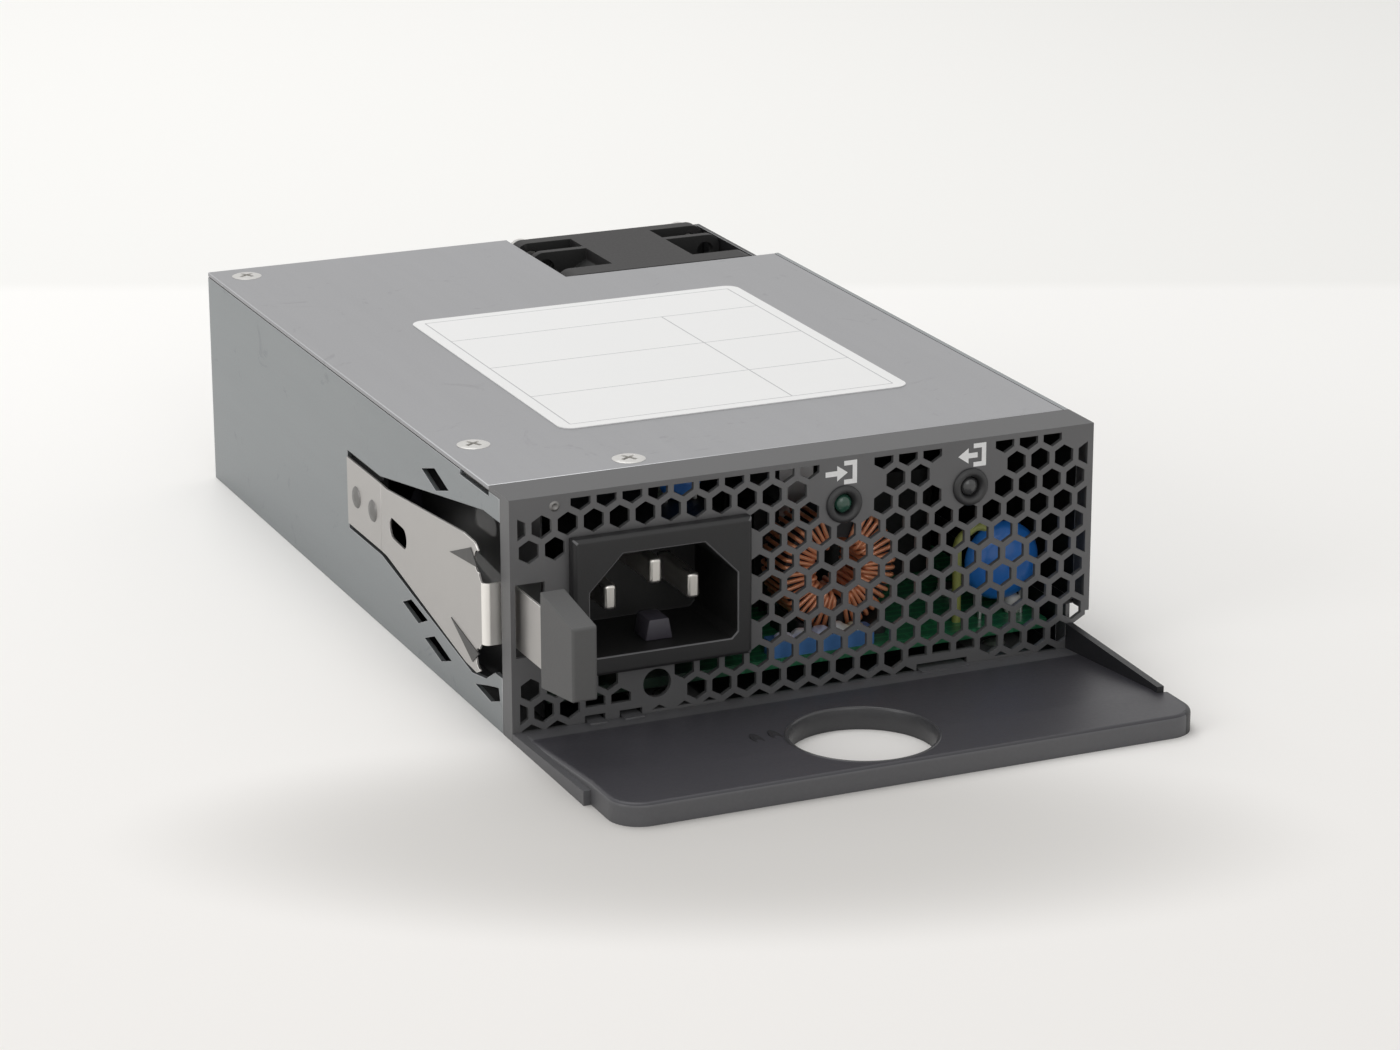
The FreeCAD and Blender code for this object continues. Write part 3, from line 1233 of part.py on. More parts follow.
doc.recompute()
for item in doc.Objects:
    if any(state in ("Invalid", "Error") for state in item.State):
        raise RuntimeError(f"{item.Name} did not rebuild: {item.State}")
for node in nodes:
    if node.Shape.isNull() or not node.Shape.isValid():
        raise RuntimeError(f"{node.Label} has no valid shape")
    node.Shape.exportStep(f"parts/{node.Label}.step")
    box = node.Shape.BoundBox
    print(f"{node.Label:22s} solids {len(node.Shape.Solids):3d} volume {node.Shape.Volume:10.1f} "
          f"x {box.XMin:7.2f} {box.XMax:7.2f}  y {box.YMin:7.2f} {box.YMax:7.2f}  "
          f"z {box.ZMin:6.2f} {box.ZMax:6.2f}")
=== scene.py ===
import bpy
import bmesh
import math
from mathutils import Matrix, Vector, noise


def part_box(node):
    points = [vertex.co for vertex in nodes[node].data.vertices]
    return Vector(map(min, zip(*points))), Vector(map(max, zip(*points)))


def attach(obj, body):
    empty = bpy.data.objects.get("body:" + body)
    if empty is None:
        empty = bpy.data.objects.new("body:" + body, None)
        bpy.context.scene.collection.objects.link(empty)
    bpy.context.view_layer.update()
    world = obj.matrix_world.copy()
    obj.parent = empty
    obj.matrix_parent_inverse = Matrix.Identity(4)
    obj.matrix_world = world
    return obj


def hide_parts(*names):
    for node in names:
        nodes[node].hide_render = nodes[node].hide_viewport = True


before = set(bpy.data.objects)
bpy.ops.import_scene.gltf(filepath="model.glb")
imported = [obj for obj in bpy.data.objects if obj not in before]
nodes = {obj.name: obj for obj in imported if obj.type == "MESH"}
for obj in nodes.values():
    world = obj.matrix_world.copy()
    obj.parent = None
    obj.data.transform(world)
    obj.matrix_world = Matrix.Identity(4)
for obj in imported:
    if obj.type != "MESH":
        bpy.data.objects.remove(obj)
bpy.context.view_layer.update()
mm = 0.001
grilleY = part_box("front_bezel")[0][1]

# camera first, so every later piece can be judged in its frame
cameraView = {"spot": (-268.5, -639.85, 232.3), "turn": -23.87, "tilt": 18.05, "roll": 0.09, "lens": 108.9}
lens = bpy.data.cameras.new("studioCamera")
lens.lens = cameraView["lens"]
lens.sensor_width = 36.0
lens.clip_start = 0.01
camera = bpy.data.objects.new("studioCamera", lens)
camera.location = Vector(cameraView["spot"]) * mm
camera.rotation_euler = (math.radians(90 - cameraView["tilt"]), math.radians(cameraView["roll"]),
                         math.radians(cameraView["turn"]))
bpy.context.scene.collection.objects.link(camera)
bpy.context.scene.camera = camera
bpy.context.scene.view_settings.view_transform = "Standard"
print("camera set")


class Wire:
    # a socket in a material's node tree, so that shader maths reads as plain sums
    def __init__(self, tree, socket=None):
        self.tree = tree
        self.socket = socket

    def node(self, kind, settings=None, inputs=None, output=0):
        made = self.tree.nodes.new(kind)
        for name, value in (settings or {}).items():
            setattr(made, name, value)
        for key, value in (inputs or {}).items():
            if isinstance(value, Wire):
                self.tree.links.new(value.socket, made.inputs[key])
            else:
                made.inputs[key].default_value = value
        return Wire(self.tree, made.outputs[output])

    def sums(self, operation, first, second=0.0):
        return self.node("ShaderNodeMath", {"operation": operation}, {0: first, 1: second})

    def __add__(self, other):
        return self.sums("ADD", self, other)

    __radd__ = __add__

    def __sub__(self, other):
        return self.sums("SUBTRACT", self, other)

    def __rsub__(self, other):
        return self.sums("SUBTRACT", other, self)

    def __mul__(self, other):
        return self.sums("MULTIPLY", self, other)

    __rmul__ = __mul__

    def __gt__(self, other):
        return self.sums("GREATER_THAN", self, other)

    def __lt__(self, other):
        return self.sums("LESS_THAN", self, other)


class Finish(Wire):
    # a material under construction: its shader, and the patterns that feed it
    def __init__(self, name, **constants):
        self.material = bpy.data.materials.new(name)
        self.material.use_nodes = True
        super().__init__(self.material.node_tree)
        self.shader = self.tree.nodes["Principled BSDF"]
        for socket, value in constants.items():
            self.shader.inputs[socket.replace("_", " ")].default_value = value
        self.place = self.node("ShaderNodeTexCoord", output="Object")

    def feed(self, socket, value):
        self.tree.links.new(value.socket, self.shader.inputs[socket])
        return self

    def along(self, axis):
        return self.node("ShaderNodeSeparateXYZ", {}, {0: self.place}, axis)

    def noise(self, scale, detail=3.0, rough=0.55, stretch=(1, 1, 1), warp=0.0):
        at = self.node("ShaderNodeMapping", {}, {"Vector": self.place, "Scale": stretch})
        return self.node("ShaderNodeTexNoise", {}, {"Vector": at, "Scale": scale, "Detail": detail,
                                                    "Roughness": rough, "Distortion": warp}, "Fac")

    def between(self, mask, low, high):
        return self.node("ShaderNodeMapRange", {"clamp": True},
                         {"Value": mask, "From Min": low, "From Max": high})

    def tint(self, mask, first, second):
        return self.node("ShaderNodeMix", {"data_type": "RGBA"}, {0: mask, 6: (*first, 1), 7: (*second, 1)}, 2)

    def cover(self, mask, under, over):
        return self.node("ShaderNodeMix", {"data_type": "RGBA"}, {0: mask, 6: under, 7: (*over, 1)}, 2)

    def relief(self, height, strength, depth):
        bump = self.node("ShaderNodeBump", {}, {"Height": height, "Strength": strength, "Distance": depth})
        return self.feed("Normal", bump)


def shade(colour, factor):
    return tuple(min(1.0, c * factor) for c in colour)


def zincSheet(name, colour, roll=(1, 0.08, 1)):
    # zinc plated sheet: faint rolling streaks, cloudy patches, a few handling marks and a fine tooth
    made = Finish(name, Metallic=0.8)
    streak = made.noise(260, 4, 0.6, roll)
    cloud = made.noise(22, 3)
    tooth = made.noise(2600, 2)
    marks = made.between(made.noise(70, 5, 0.7, (1, 1, 1), 2.0), 0.62, 0.7)
    plain = made.tint(streak * 0.45 + cloud * 0.55, shade(colour, 0.9), shade(colour, 1.08))
    made.feed("Base Color", made.cover(marks * 0.22, plain, shade(colour, 0.7)))
    made.feed("Roughness", 0.31 + cloud * 0.12 + tooth * 0.1 + marks * 0.08)
    made.relief(tooth * 0.6 + streak * 0.4, 0.12, 0.00004)
    return made.material


def darkCoat(name, colour, shine=0.42):
    # dark conversion coat on steel, slightly dusty, with a fine orange peel
    made = Finish(name, Metallic=0.25)
    dust = made.noise(45, 4)
    peel = made.noise(1500, 2)
    made.feed("Base Color", made.tint(made.between(dust, 0.3, 0.75), shade(colour, 0.85), shade(colour, 1.05)))
    made.feed("Roughness", shine + dust * 0.12)
    made.relief(peel, 0.18, 0.00005)
    return made.material


def moulding(name, colour, grain=1900, shine=0.5, depth=0.00006):
    # glass filled moulding with a sparked texture
    made = Finish(name)
    spark = made.noise(grain, 3, 0.65)
    cloud = made.noise(30, 3)
    made.feed("Base Color", made.tint(spark * 0.5 + cloud * 0.5, shade(colour, 0.75), shade(colour, 1.12)))
    made.feed("Roughness", shine + spark * 0.15)
    made.relief(spark, 0.35, depth)
    return made.material


def handleMoulding(name, colour, rightColour, changeFrom=-0.03, changeTo=0.05):
    # glossy moulding with a sparked grain, painted darker towards the right: painted shade
    made = Finish(name)
    spark = made.noise(1500, 3, 0.65)
    smear = made.noise(26, 3, 0.5, (1, 2.5, 1))
    # painted shade: the tone darkens from left to right across the plate
    rightShade = made.between(made.along(0), changeFrom, changeTo)
    plain = made.tint(rightShade * (0.55 + smear * 0.45), colour, rightColour)
    made.feed("Base Color", made.cover(made.between(spark, 0.35, 0.8) * 0.3, plain, shade(rightColour, 1.25)))
    made.feed("Roughness", 0.33 + spark * 0.12 + smear * 0.08)
    made.relief(spark, 0.3, 0.00005)
    return made.material


def brightMetal(name, colour, shine=0.22, brushed=(1, 1, 1), scale=900):
    # plated or bright rolled metal with fine lines and a few handling marks
    made = Finish(name, Metallic=0.92)
    lines = made.noise(scale, 3, 0.6, brushed)
    marks = made.noise(120, 2, 0.5, (1, 1, 1), 1.5)
    made.feed("Base Color", made.tint(lines * 0.6 + marks * 0.4, shade(colour, 0.84), colour))
    made.feed("Roughness", shine + lines * 0.14 + marks * 0.06)
    made.relief(lines, 0.1, 0.00003)
    return made.material


def enamel(name, colour, shine=0.24):
    # enamelled copper: clear coat over drawn wire, darker here and there
    made = Finish(name, Metallic=0.2, Coat_Weight=0.7)
    drawn = made.noise(700, 3)
    heat = made.noise(140, 2)
    made.feed("Base Color", made.tint(drawn * 0.4 + heat * 0.6, shade(colour, 0.7), colour))
    made.feed("Roughness", shine + drawn * 0.15)
    made.relief(drawn, 0.12, 0.00003)
    return made.material


def resin(name, colour, shine=0.28, wave=90):
    # dipped or potted resin: glossy, slightly uneven
    made = Finish(name, Coat_Weight=0.35)
    swell = made.noise(wave, 3)
    fleck = made.noise(1200, 2)
    made.feed("Base Color", made.tint(swell * 0.6 + fleck * 0.4, shade(colour, 0.72), colour))
    made.feed("Roughness", shine + swell * 0.18)
    made.relief(swell, 0.3, 0.0002)
    return made.material


def potting(name, white, cream, cool, warmFrom=0.007, warmTo=0.011):
    # sealing compound: white, cream in places and slightly blue in others
    made = Finish(name, Coat_Weight=0.2)
    swell = made.noise(320, 3)
    warm = made.between(made.along(0), warmFrom, warmTo)
    plain = made.tint(made.between(swell, 0.4, 0.6), white, cool)
    made.feed("Base Color", made.cover(warm * 0.8, plain, cream))
    made.feed("Roughness", 0.34 + swell * 0.2)
    made.relief(swell, 0.35, 0.0002)
    return made.material


def solderMask(name, colour, inletShadeColour, inletShadeFrom=-0.02, inletShadeTo=-0.004):
    # circuit board: traces show as slightly raised, lighter paths under the green mask, and the part
    # under the inlet is painted near black: painted shade
    made = Finish(name, Coat_Weight=0.4)
    lanes = made.node("ShaderNodeTexBrick", {"offset": 0.35},
                      {"Vector": made.place, "Scale": 1.0, "Mortar Size": 0.00028, "Brick Width": 0.0068,
                       "Row Height": 0.0021}, "Fac")
    weave = made.noise(1400, 2)
    plain = made.tint(lanes * 0.6 + weave * 0.25, colour, shade(colour, 1.9))
    inletShade = 1 - made.between(made.along(0), inletShadeFrom, inletShadeTo)
    made.feed("Base Color", made.cover(inletShade * 0.92, plain, inletShadeColour))
    made.feed("Roughness", 0.3 + weave * 0.15)
    made.relief(lanes * 0.8 + weave * 0.2, 0.3, 0.00005)
    return made.material


def ruledFilm(name, colour, ink, ruleHalf, rules):
    # label film with thin printed rules and nothing in its boxes
    made = Finish(name, Coat_Weight=0.12)
    fibre = made.noise(2600, 3)
    cloud = made.noise(40, 3)
    axes = [made.along(0), made.along(1)]
    drawn = 0.0
    for axis, place, low, high in rules:
        across = axes[axis]
        length = axes[1 - axis]
        line = (across > (place - ruleHalf) * mm) * (across < (place + ruleHalf) * mm)
        drawn = line * (length > low * mm) * (length < high * mm) + drawn
    film = made.tint(fibre * 0.3 + cloud * 0.7, shade(colour, 0.97), colour)
    made.feed("Base Color", made.cover(made.between(drawn, 0.0, 1.0), film, ink))
    made.feed("Roughness", 0.36 + fibre * 0.1)
    made.relief(fibre, 0.1, 0.00002)
    return made.material


# the label's ruled box: axis, place along it, and the rule's two ends, in millimetres
labelBox = {"sides": (-26.6, 30.6), "ends": (-41.4, 24.8), "rows": (12.2, -6.0, -24.4), "column": 12.4,
            "ruleHalf": 0.12}
labelRules = [(0, side, *labelBox["ends"]) for side in labelBox["sides"]]
labelRules += [(1, row, *labelBox["sides"]) for row in labelBox["ends"] + labelBox["rows"]]
labelRules.append((0, labelBox["column"], labelBox["ends"][0], labelBox["rows"][0]))
finishLooks = {
    "lidZinc": (zincSheet, (0.325, 0.326, 0.338)),
    "wallZinc": (zincSheet, (0.27, 0.287, 0.296)),
    # near-black zinc for inside faces: painted shade
    "innerZinc": (zincSheet, (0.05, 0.05, 0.052)),
    # pale zinc on the eased edges of case and lid: a painted edge highlight
    "edgeZinc": (zincSheet, (0.5, 0.51, 0.52)),
    "guardZinc": (zincSheet, (0.5, 0.5, 0.5)),
    "bezelCoat": (darkCoat, (0.13, 0.13, 0.133)),
    # paler coat on the grille's eased edges: a painted edge highlight
    "bezelEdge": (darkCoat, (0.22, 0.22, 0.225), 0.34),
    # handle plate, painted darker towards its right side: painted shade
    "handleTop": (handleMoulding, (0.038, 0.037, 0.044), (0.03, 0.029, 0.034)),
    "handleLip": (moulding, (0.098, 0.098, 0.104), 1500, 0.38),
    # pale finish along the handle's front crest: a painted highlight
    "handleCrest": (moulding, (0.2, 0.2, 0.21), 1500, 0.34),
    "collarGrey": (moulding, (0.05, 0.05, 0.053), 1500, 0.24),
    # near-black finish for the handle's right cheek: painted shade
    "handleCheek": (moulding, (0.012, 0.012, 0.014), 1500, 0.4),
    "gripGrey": (moulding, (0.085, 0.085, 0.085), 2200, 0.5),
    "inletGrey": (moulding, (0.014, 0.014, 0.0148), 2400, 0.45),
    # near-black moulding inside the inlet's cavity: painted shade
    "inletBlack": (moulding, (0.004, 0.004, 0.004), 2400, 0.5),
    # paler moulding on the inlet's front eased edges: a painted highlight
    "inletRim": (moulding, (0.12, 0.12, 0.125), 2400, 0.36),
    "fanBlack": (moulding, (0.009, 0.0078, 0.0082), 1700, 0.55),
    # darker moulding for the fan frame's inner faces and the rotor: painted shade
    "fanDeep": (moulding, (0.006, 0.006, 0.006), 1700, 0.55),
    "leafSteel": (brightMetal, (0.5, 0.485, 0.47), 0.34, (1, 1, 0.06), 700),
    # near-white steel on the blade's catch face and front edges: a painted highlight
    "leafBright": (brightMetal, (0.97, 0.95, 0.91), 0.24, (1, 1, 0.06), 700),
    "leafShade": (brightMetal, (0.1, 0.098, 0.096), 0.4, (1, 1, 0.06), 700),
    "screwZinc": (brightMetal, (0.66, 0.65, 0.63), 0.26),
    "rivetDull": (brightMetal, (0.22, 0.216, 0.21), 0.36),
    "pinNickel": (brightMetal, (0.74, 0.72, 0.68), 0.2, (1, 0.1, 1)),
    "contactGold": (brightMetal, (0.86, 0.62, 0.24), 0.2),
    "sinkAluminium": (brightMetal, (0.5, 0.5, 0.51), 0.34, (1, 1, 0.05), 500),
    "copperEnamel": (enamel, (1.0, 0.4, 0.2)),
    "tinnedLead": (brightMetal, (0.7, 0.7, 0.69), 0.24),
    # darker coat for the upward faces on the grille's top: painted shade
    "bezelTop": (darkCoat, (0.085, 0.085, 0.087), 0.42),
    "ridgeGrey": (moulding, (0.05, 0.046, 0.06), 1500, 0.4),
    # board painted near black under the inlet: painted shade
    "boardGreen": (solderMask, (0.03, 0.2, 0.09), (0.012, 0.014, 0.013)),
    "dipBlue": (resin, (0.03, 0.25, 0.86)),
    "caseBlue": (resin, (0.1, 0.3, 0.72), 0.35),
    "pottingWhite": (potting, (0.86, 0.87, 0.9), (0.8, 0.78, 0.5), (0.62, 0.66, 0.86)),
    "beadWhite": (resin, (0.84, 0.82, 0.78), 0.4),
    "leadGreen": (resin, (0.42, 0.46, 0.12), 0.4),
    "ferriteGrey": (moulding, (0.03, 0.03, 0.032), 900, 0.6),
    "nylonBlack": (moulding, (0.02, 0.02, 0.02), 1500, 0.45),
    "holderGrey": (moulding, (0.026, 0.026, 0.027), 1500, 0.4),
    "tapeYellow": (resin, (0.62, 0.45, 0.06), 0.4),
    "sleeveBlack": (resin, (0.02, 0.02, 0.03), 0.3),
    "filmBlack": (resin, (0.012, 0.012, 0.013), 0.3),
    "lensGreen": (resin, (0.02, 0.075, 0.05), 0.16),
    "lensSmoke": (resin, (0.05, 0.05, 0.052), 0.16),
    "signWhite": (moulding, (0.86, 0.86, 0.86), 2600, 0.5, 0.00002),
    "labelFilm": (ruledFilm, (0.8, 0.8, 0.797), (0.42, 0.42, 0.43), labelBox["ruleHalf"], labelRules),
}
finishes = {name: make(name, *values) for name, (make, *values) in finishLooks.items()}
print("finishes made:", len(finishes))

nodeFinish = {
    "cover_screws": "screwZinc", "bezel_rivets": "screwZinc", "latch_bracket": "innerZinc",
    "fan_rotor": "fanDeep", "fan_guard": "guardZinc", "fan_screws": "screwZinc",
    "main_board": "boardGreen", "board_standoffs": "screwZinc", "board_screws": "screwZinc",
    "insulating_sheet": "filmBlack", "output_contacts": "contactGold", "filter_capacitor": "caseBlue",
    "capacitor_potting": "pottingWhite", "choke_core": "ferriteGrey", "choke_winding": "copperEnamel",
    "choke_base": "nylonBlack", "varistor_disc": "dipBlue", "class_y_capacitor": "dipBlue",
    "bulk_capacitors": "sleeveBlack", "power_transformer": "ferriteGrey", "transformer_winding": "tapeYellow",
    "primary_heatsink": "sinkAluminium", "secondary_heatsink": "sinkAluminium",
    "power_transistors": "nylonBlack", "boost_choke": "nylonBlack", "light_holders": "holderGrey",
    "status_light_in": "lensGreen",
    "status_light_out": "lensSmoke", "rating_label": "labelFilm", "latch_rivets": "rivetDull",
}
for nodeName, finishName in nodeFinish.items():
    for slot in nodes[nodeName].material_slots:
        slot.material = finishes[finishName]
print("frame nodes finished:", len(nodeFinish))


def at(x, y, z):
    # millimetres, with y measured from the grille's outer face
    return Vector((x * mm, y * mm + grilleY, z * mm))


def middleOf(nodeName):
    low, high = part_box(nodeName)
    return (Vector(low) + Vector(high)) / 2


def turnTo(axis):
    return Vector((0, 0, 1)).rotation_difference(Vector(axis)).to_matrix().to_4x4()


def newVerts(made):
    return [item for item in made if isinstance(item, bmesh.types.BMVert)]


def newEdges(made, verts):
    edges = [item for item in made if isinstance(item, bmesh.types.BMEdge)]
    return [edge for edge in edges if all(vert in verts for vert in edge.verts)]


def closeUp(shape):
    bmesh.ops.remove_doubles(shape, verts=shape.verts, dist=0.001 * mm)
    bmesh.ops.recalc_face_normals(shape, faces=shape.faces)
    return shape


def turned(profile, centre, axis, steps=36):
    # (radius, height) points in millimetres, spun once round the axis
    shape = bmesh.new()
    points = [shape.verts.new((radius * mm, 0, height * mm)) for radius, height in profile]
    lines = [shape.edges.new(pair) for pair in zip(points, points[1:])]
    bmesh.ops.spin(shape, geom=points + lines, cent=(0, 0, 0), axis=(0, 0, 1), angle=2 * math.pi, steps=steps,
                   use_merge=True, use_duplicate=False)
    closeUp(shape)
    bmesh.ops.transform(shape, matrix=Matrix.Translation(centre) @ turnTo(axis), verts=shape.verts)
    return shape


def pushedOut(outlines, way):
    # flat outlines pushed one way into closed slabs
    shape = bmesh.new()
    for outline in outlines:
        shape.faces.new([shape.verts.new(point) for point in outline])
    made = bmesh.ops.extrude_face_region(shape, geom=list(shape.faces))["geom"]
    bmesh.ops.translate(shape, vec=way, verts=newVerts(made))
    return closeUp(shape)


def eased(shape, edges, width, segments=1):
    # small bevels, whose new faces are given back
    return bmesh.ops.bevel(shape, geom=edges, offset=width * mm, offset_type="OFFSET", segments=segments,
                           profile=0.5, affect="EDGES", clamp_overlap=True, material=-1)["faces"]


def wireRun(start, heading, side, radius, steps, closed=False, ringSides=8):
    # round wire drawn from one end: ("run", length) goes straight, ("bend", angle, reach) turns to its side
    shape = bmesh.new()
    heading = Vector(heading).normalized()
    side = Vector(side).normalized()
    verts = bmesh.ops.create_circle(shape, cap_ends=False, segments=ringSides, radius=radius * mm)["verts"]
    bmesh.ops.transform(shape, matrix=Matrix.Translation(start) @ turnTo(heading), verts=verts)
    edges = list(shape.edges)
    tip = start.copy()
    for step in steps:
        if step[0] == "run":
            made = bmesh.ops.extrude_edge_only(shape, edges=edges)["geom"]
            verts = newVerts(made)
            edges = newEdges(made, verts)
            bmesh.ops.translate(shape, vec=heading * step[1] * mm, verts=verts)
            tip = tip + heading * step[1] * mm
        else:
            angle = math.radians(step[1])
            middle = tip + side * step[2] * mm
            axis = heading.cross(side)
            made = bmesh.ops.spin(shape, geom=verts + edges, cent=middle, axis=axis, angle=angle,
                                  steps=max(2, round(step[1] / 22)), use_duplicate=False)["geom_last"]
            verts = newVerts(made)
            edges = newEdges(made, verts)
            turn = Matrix.Rotation(angle, 3, axis)
            tip = middle + turn @ (tip - middle)
            heading = turn @ heading
            side = turn @ side
    if not closed:
        bmesh.ops.holes_fill(shape, edges=[edge for edge in shape.edges if edge.is_boundary], sides=ringSides)
    return closeUp(shape)


def joined(shapes):
    whole = bmesh.new()
    for shape in shapes:
        part = bpy.data.meshes.new("part")
        shape.to_mesh(part)
        shape.free()
        whole.from_mesh(part)
        bpy.data.meshes.remove(part)
    return whole


def finishPiece(name, shape, finishNames, bodyName, replaced=(), sharpAngle=38, even=False):
    # the shape becomes an object with its finishes, riding on one body
    mesh = bpy.data.meshes.new(name)
    shape.to_mesh(mesh)
    shape.free()
    for finishName in finishNames:
        mesh.materials.append(finishes[finishName])
    mesh.shade_smooth()
    mesh.set_sharp_from_angle(angle=math.radians(sharpAngle))
    piece = bpy.data.objects.new(name, mesh)
    bpy.context.scene.collection.objects.link(piece)
    if even:
        shading = piece.modifiers.new("evenShading", "WEIGHTED_NORMAL")
        shading.mode = "FACE_AREA"
        shading.keep_sharp = True
        shading.weight = 100
    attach(piece, bodyName)
    if replaced:
        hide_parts(*replaced)
    print(name, len(mesh.polygons), "faces")
    return piece


# pieces of the frame whose edges are eased: a merged copy of the node stands for it.  A zone gives a
# face's finish from its middle and normal, in millimetres, with y measured from the grille's outer face
zoneLimits = {"upward": 0.5, "lidLevel": 38.7, "inletRim": 0.0, "armEnd": 5.9, "armX": -49.2}
housingLimits = {"keyX": 46.95, "keyTop": 7.35, "fanX": 46.25, "fanY": 118.3, "innerX": 49.25,
                 "low": 0.75, "high": 37.95, "front": 1.0, "rear": 147.9}
fanLimits = {"low": 1.6, "high": 37.6, "middleX": 27.1, "halfX": 18.2}
handleLimits = {"stripEnd": -4.5, "crest": -38.6, "crestLow": 2.0, "cheekX": 45.7, "ledgeX": -48.75}
inletEdge = -1.2
bladeEdge = 30.0


# faces inside the case take the near-black zinc: painted shade
def housingZone(centre, normal):
    # the keyed corner and the step beside the fan are outside as well
    limits = housingLimits
    besideKey = centre.x > limits["keyX"] and centre.z < limits["keyTop"]
    besideFan = centre.x > limits["fanX"] and centre.y > limits["fanY"]
    inside = (abs(centre.x) < limits["innerX"] and limits["low"] < centre.z < limits["high"]
              and limits["front"] < centre.y < limits["rear"])
    return 1 if inside and not besideKey and not besideFan else 0


# upward faces on the grille's top take the darker coat: painted shade
def bezelZone(centre, normal):
    return 1 if centre.z > zoneLimits["lidLevel"] and normal.z > zoneLimits["upward"] else 0


# faces behind the inlet's mouth, in its cavity, are painted near black: painted shade
def inletZone(centre, normal):
    return 1 if centre.y > zoneLimits["inletRim"] else 0


# the right cheek is painted near black: painted shade
def handleZone(centre, normal):
    if centre.x > handleLimits["cheekX"]:
        return 2
    onPlate = centre.y < handleLimits["stripEnd"] and centre.x > handleLimits["ledgeX"]
    return 0 if onPlate and normal.z > zoneLimits["upward"] else 1


# bevel faces along the front crest take the pale finish: a painted highlight
def handleCrest(centre):
    return centre.y < handleLimits["crest"] and centre.z > handleLimits["crestLow"]


# the catch face at the arm's front end is painted near white: a painted highlight
def bladeZone(centre, normal):
    return 1 if centre.y < zoneLimits["armEnd"] and centre.x < zoneLimits["armX"] else 0


# the frame's inner faces take the darker moulding: painted shade
def fanZone(centre, normal):
    besideMiddle = abs(centre.x - fanLimits["middleX"])
    return 1 if fanLimits["low"] < centre.z < fanLimits["high"] and besideMiddle < fanLimits["halfX"] else 0


easedPieces = {
    "chassis_base": {"width": 0.1, "segments": 1, "finishes": ["wallZinc", "innerZinc", "edgeZinc"],
                     "zone": housingZone, "body": "housing"},
    "top_cover": {"width": 0.12, "segments": 1, "finishes": ["lidZinc", "innerZinc", "edgeZinc"],
                  "zone": housingZone, "body": "housing"},
    "front_bezel": {"width": 0.09, "segments": 1, "finishes": ["bezelCoat", "bezelTop", "bezelEdge"],
                    "zone": bezelZone, "body": "housing"},
    # the inlet's front eased edges take the paler moulding: a painted highlight
    "inlet_housing": {"width": 0.22, "segments": 2, "finishes": ["inletGrey", "inletBlack", "inletRim"],
                      "zone": inletZone, "edge": lambda centre: centre.y < inletEdge, "body": "housing"},
    "inlet_line_pins": {"width": 0.4, "segments": 2, "finishes": ["pinNickel"], "body": "housing"},
    "inlet_earth_pin": {"width": 0.4, "segments": 2, "finishes": ["pinNickel"], "body": "housing"},
    "pull_handle": {"width": 0.22, "segments": 2,
                    "finishes": ["handleTop", "handleLip", "handleCheek", "handleCrest"], "zone": handleZone,
                    "edge": handleCrest, "cuts": [handleLimits["stripEnd"]], "body": "housing"},
    "latch_grip": {"width": 0.3, "segments": 3, "finishes": ["gripGrey"], "body": "latch"},
    "latch_blade": {"width": 0.06, "segments": 1, "finishes": ["leafSteel", "leafBright", "leafBright"],
                    "zone": bladeZone, "edge": lambda centre: centre.y < bladeEdge,
                    "cuts": [zoneLimits["armEnd"]], "body": "latch"},
    "latch_root": {"width": 0.06, "segments": 1, "finishes": ["leafSteel"], "body": "housing"},
    "fan_frame": {"width": 0.2, "segments": 2, "finishes": ["fanBlack", "fanDeep"], "zone": fanZone,
                  "body": "housing"},
}
cleanUp = {"weld": 0.002, "flat": 1, "sharp": 32}  # millimetres and degrees


def easedCopy(nodeName, look):
    shape = bmesh.new()
    shape.from_mesh(nodes[nodeName].data)
    bmesh.ops.remove_doubles(shape, verts=shape.verts, dist=cleanUp["weld"] * mm)
    bmesh.ops.dissolve_limit(shape, angle_limit=math.radians(cleanUp["flat"]), verts=shape.verts,
                             edges=shape.edges)
    for level in look.get("cuts", []):
        everything = list(shape.verts) + list(shape.edges) + list(shape.faces)
        bmesh.ops.bisect_plane(shape, geom=everything, plane_co=at(0, level, 0), plane_no=(0, 1, 0),
                               dist=0.0)
    origin = at(0, 0, 0)
    for side in shape.faces:
        centre = (side.calc_center_median() - origin) / mm
        side.material_index = look["zone"](centre, side.normal) if "zone" in look else 0
    limit = math.radians(cleanUp["sharp"])
    sharp = [edge for edge in shape.edges if edge.is_manifold and edge.calc_face_angle(0) > limit]
    made = eased(shape, sharp, look["width"], look["segments"])
    # with three finishes or more, the new bevel faces take the last, paler one: a painted edge highlight
    chosen = look.get("edge", lambda centre: True)
    if len(look["finishes"]) > 2:
        for side in made:
            if chosen((side.calc_center_median() - origin) / mm):
                side.material_index = len(look["finishes"]) - 1
    finishPiece(nodeName + "Eased", shape, look["finishes"], look["body"], [nodeName], even=True)


for nodeName, look in easedPieces.items():
    easedCopy(nodeName, look)

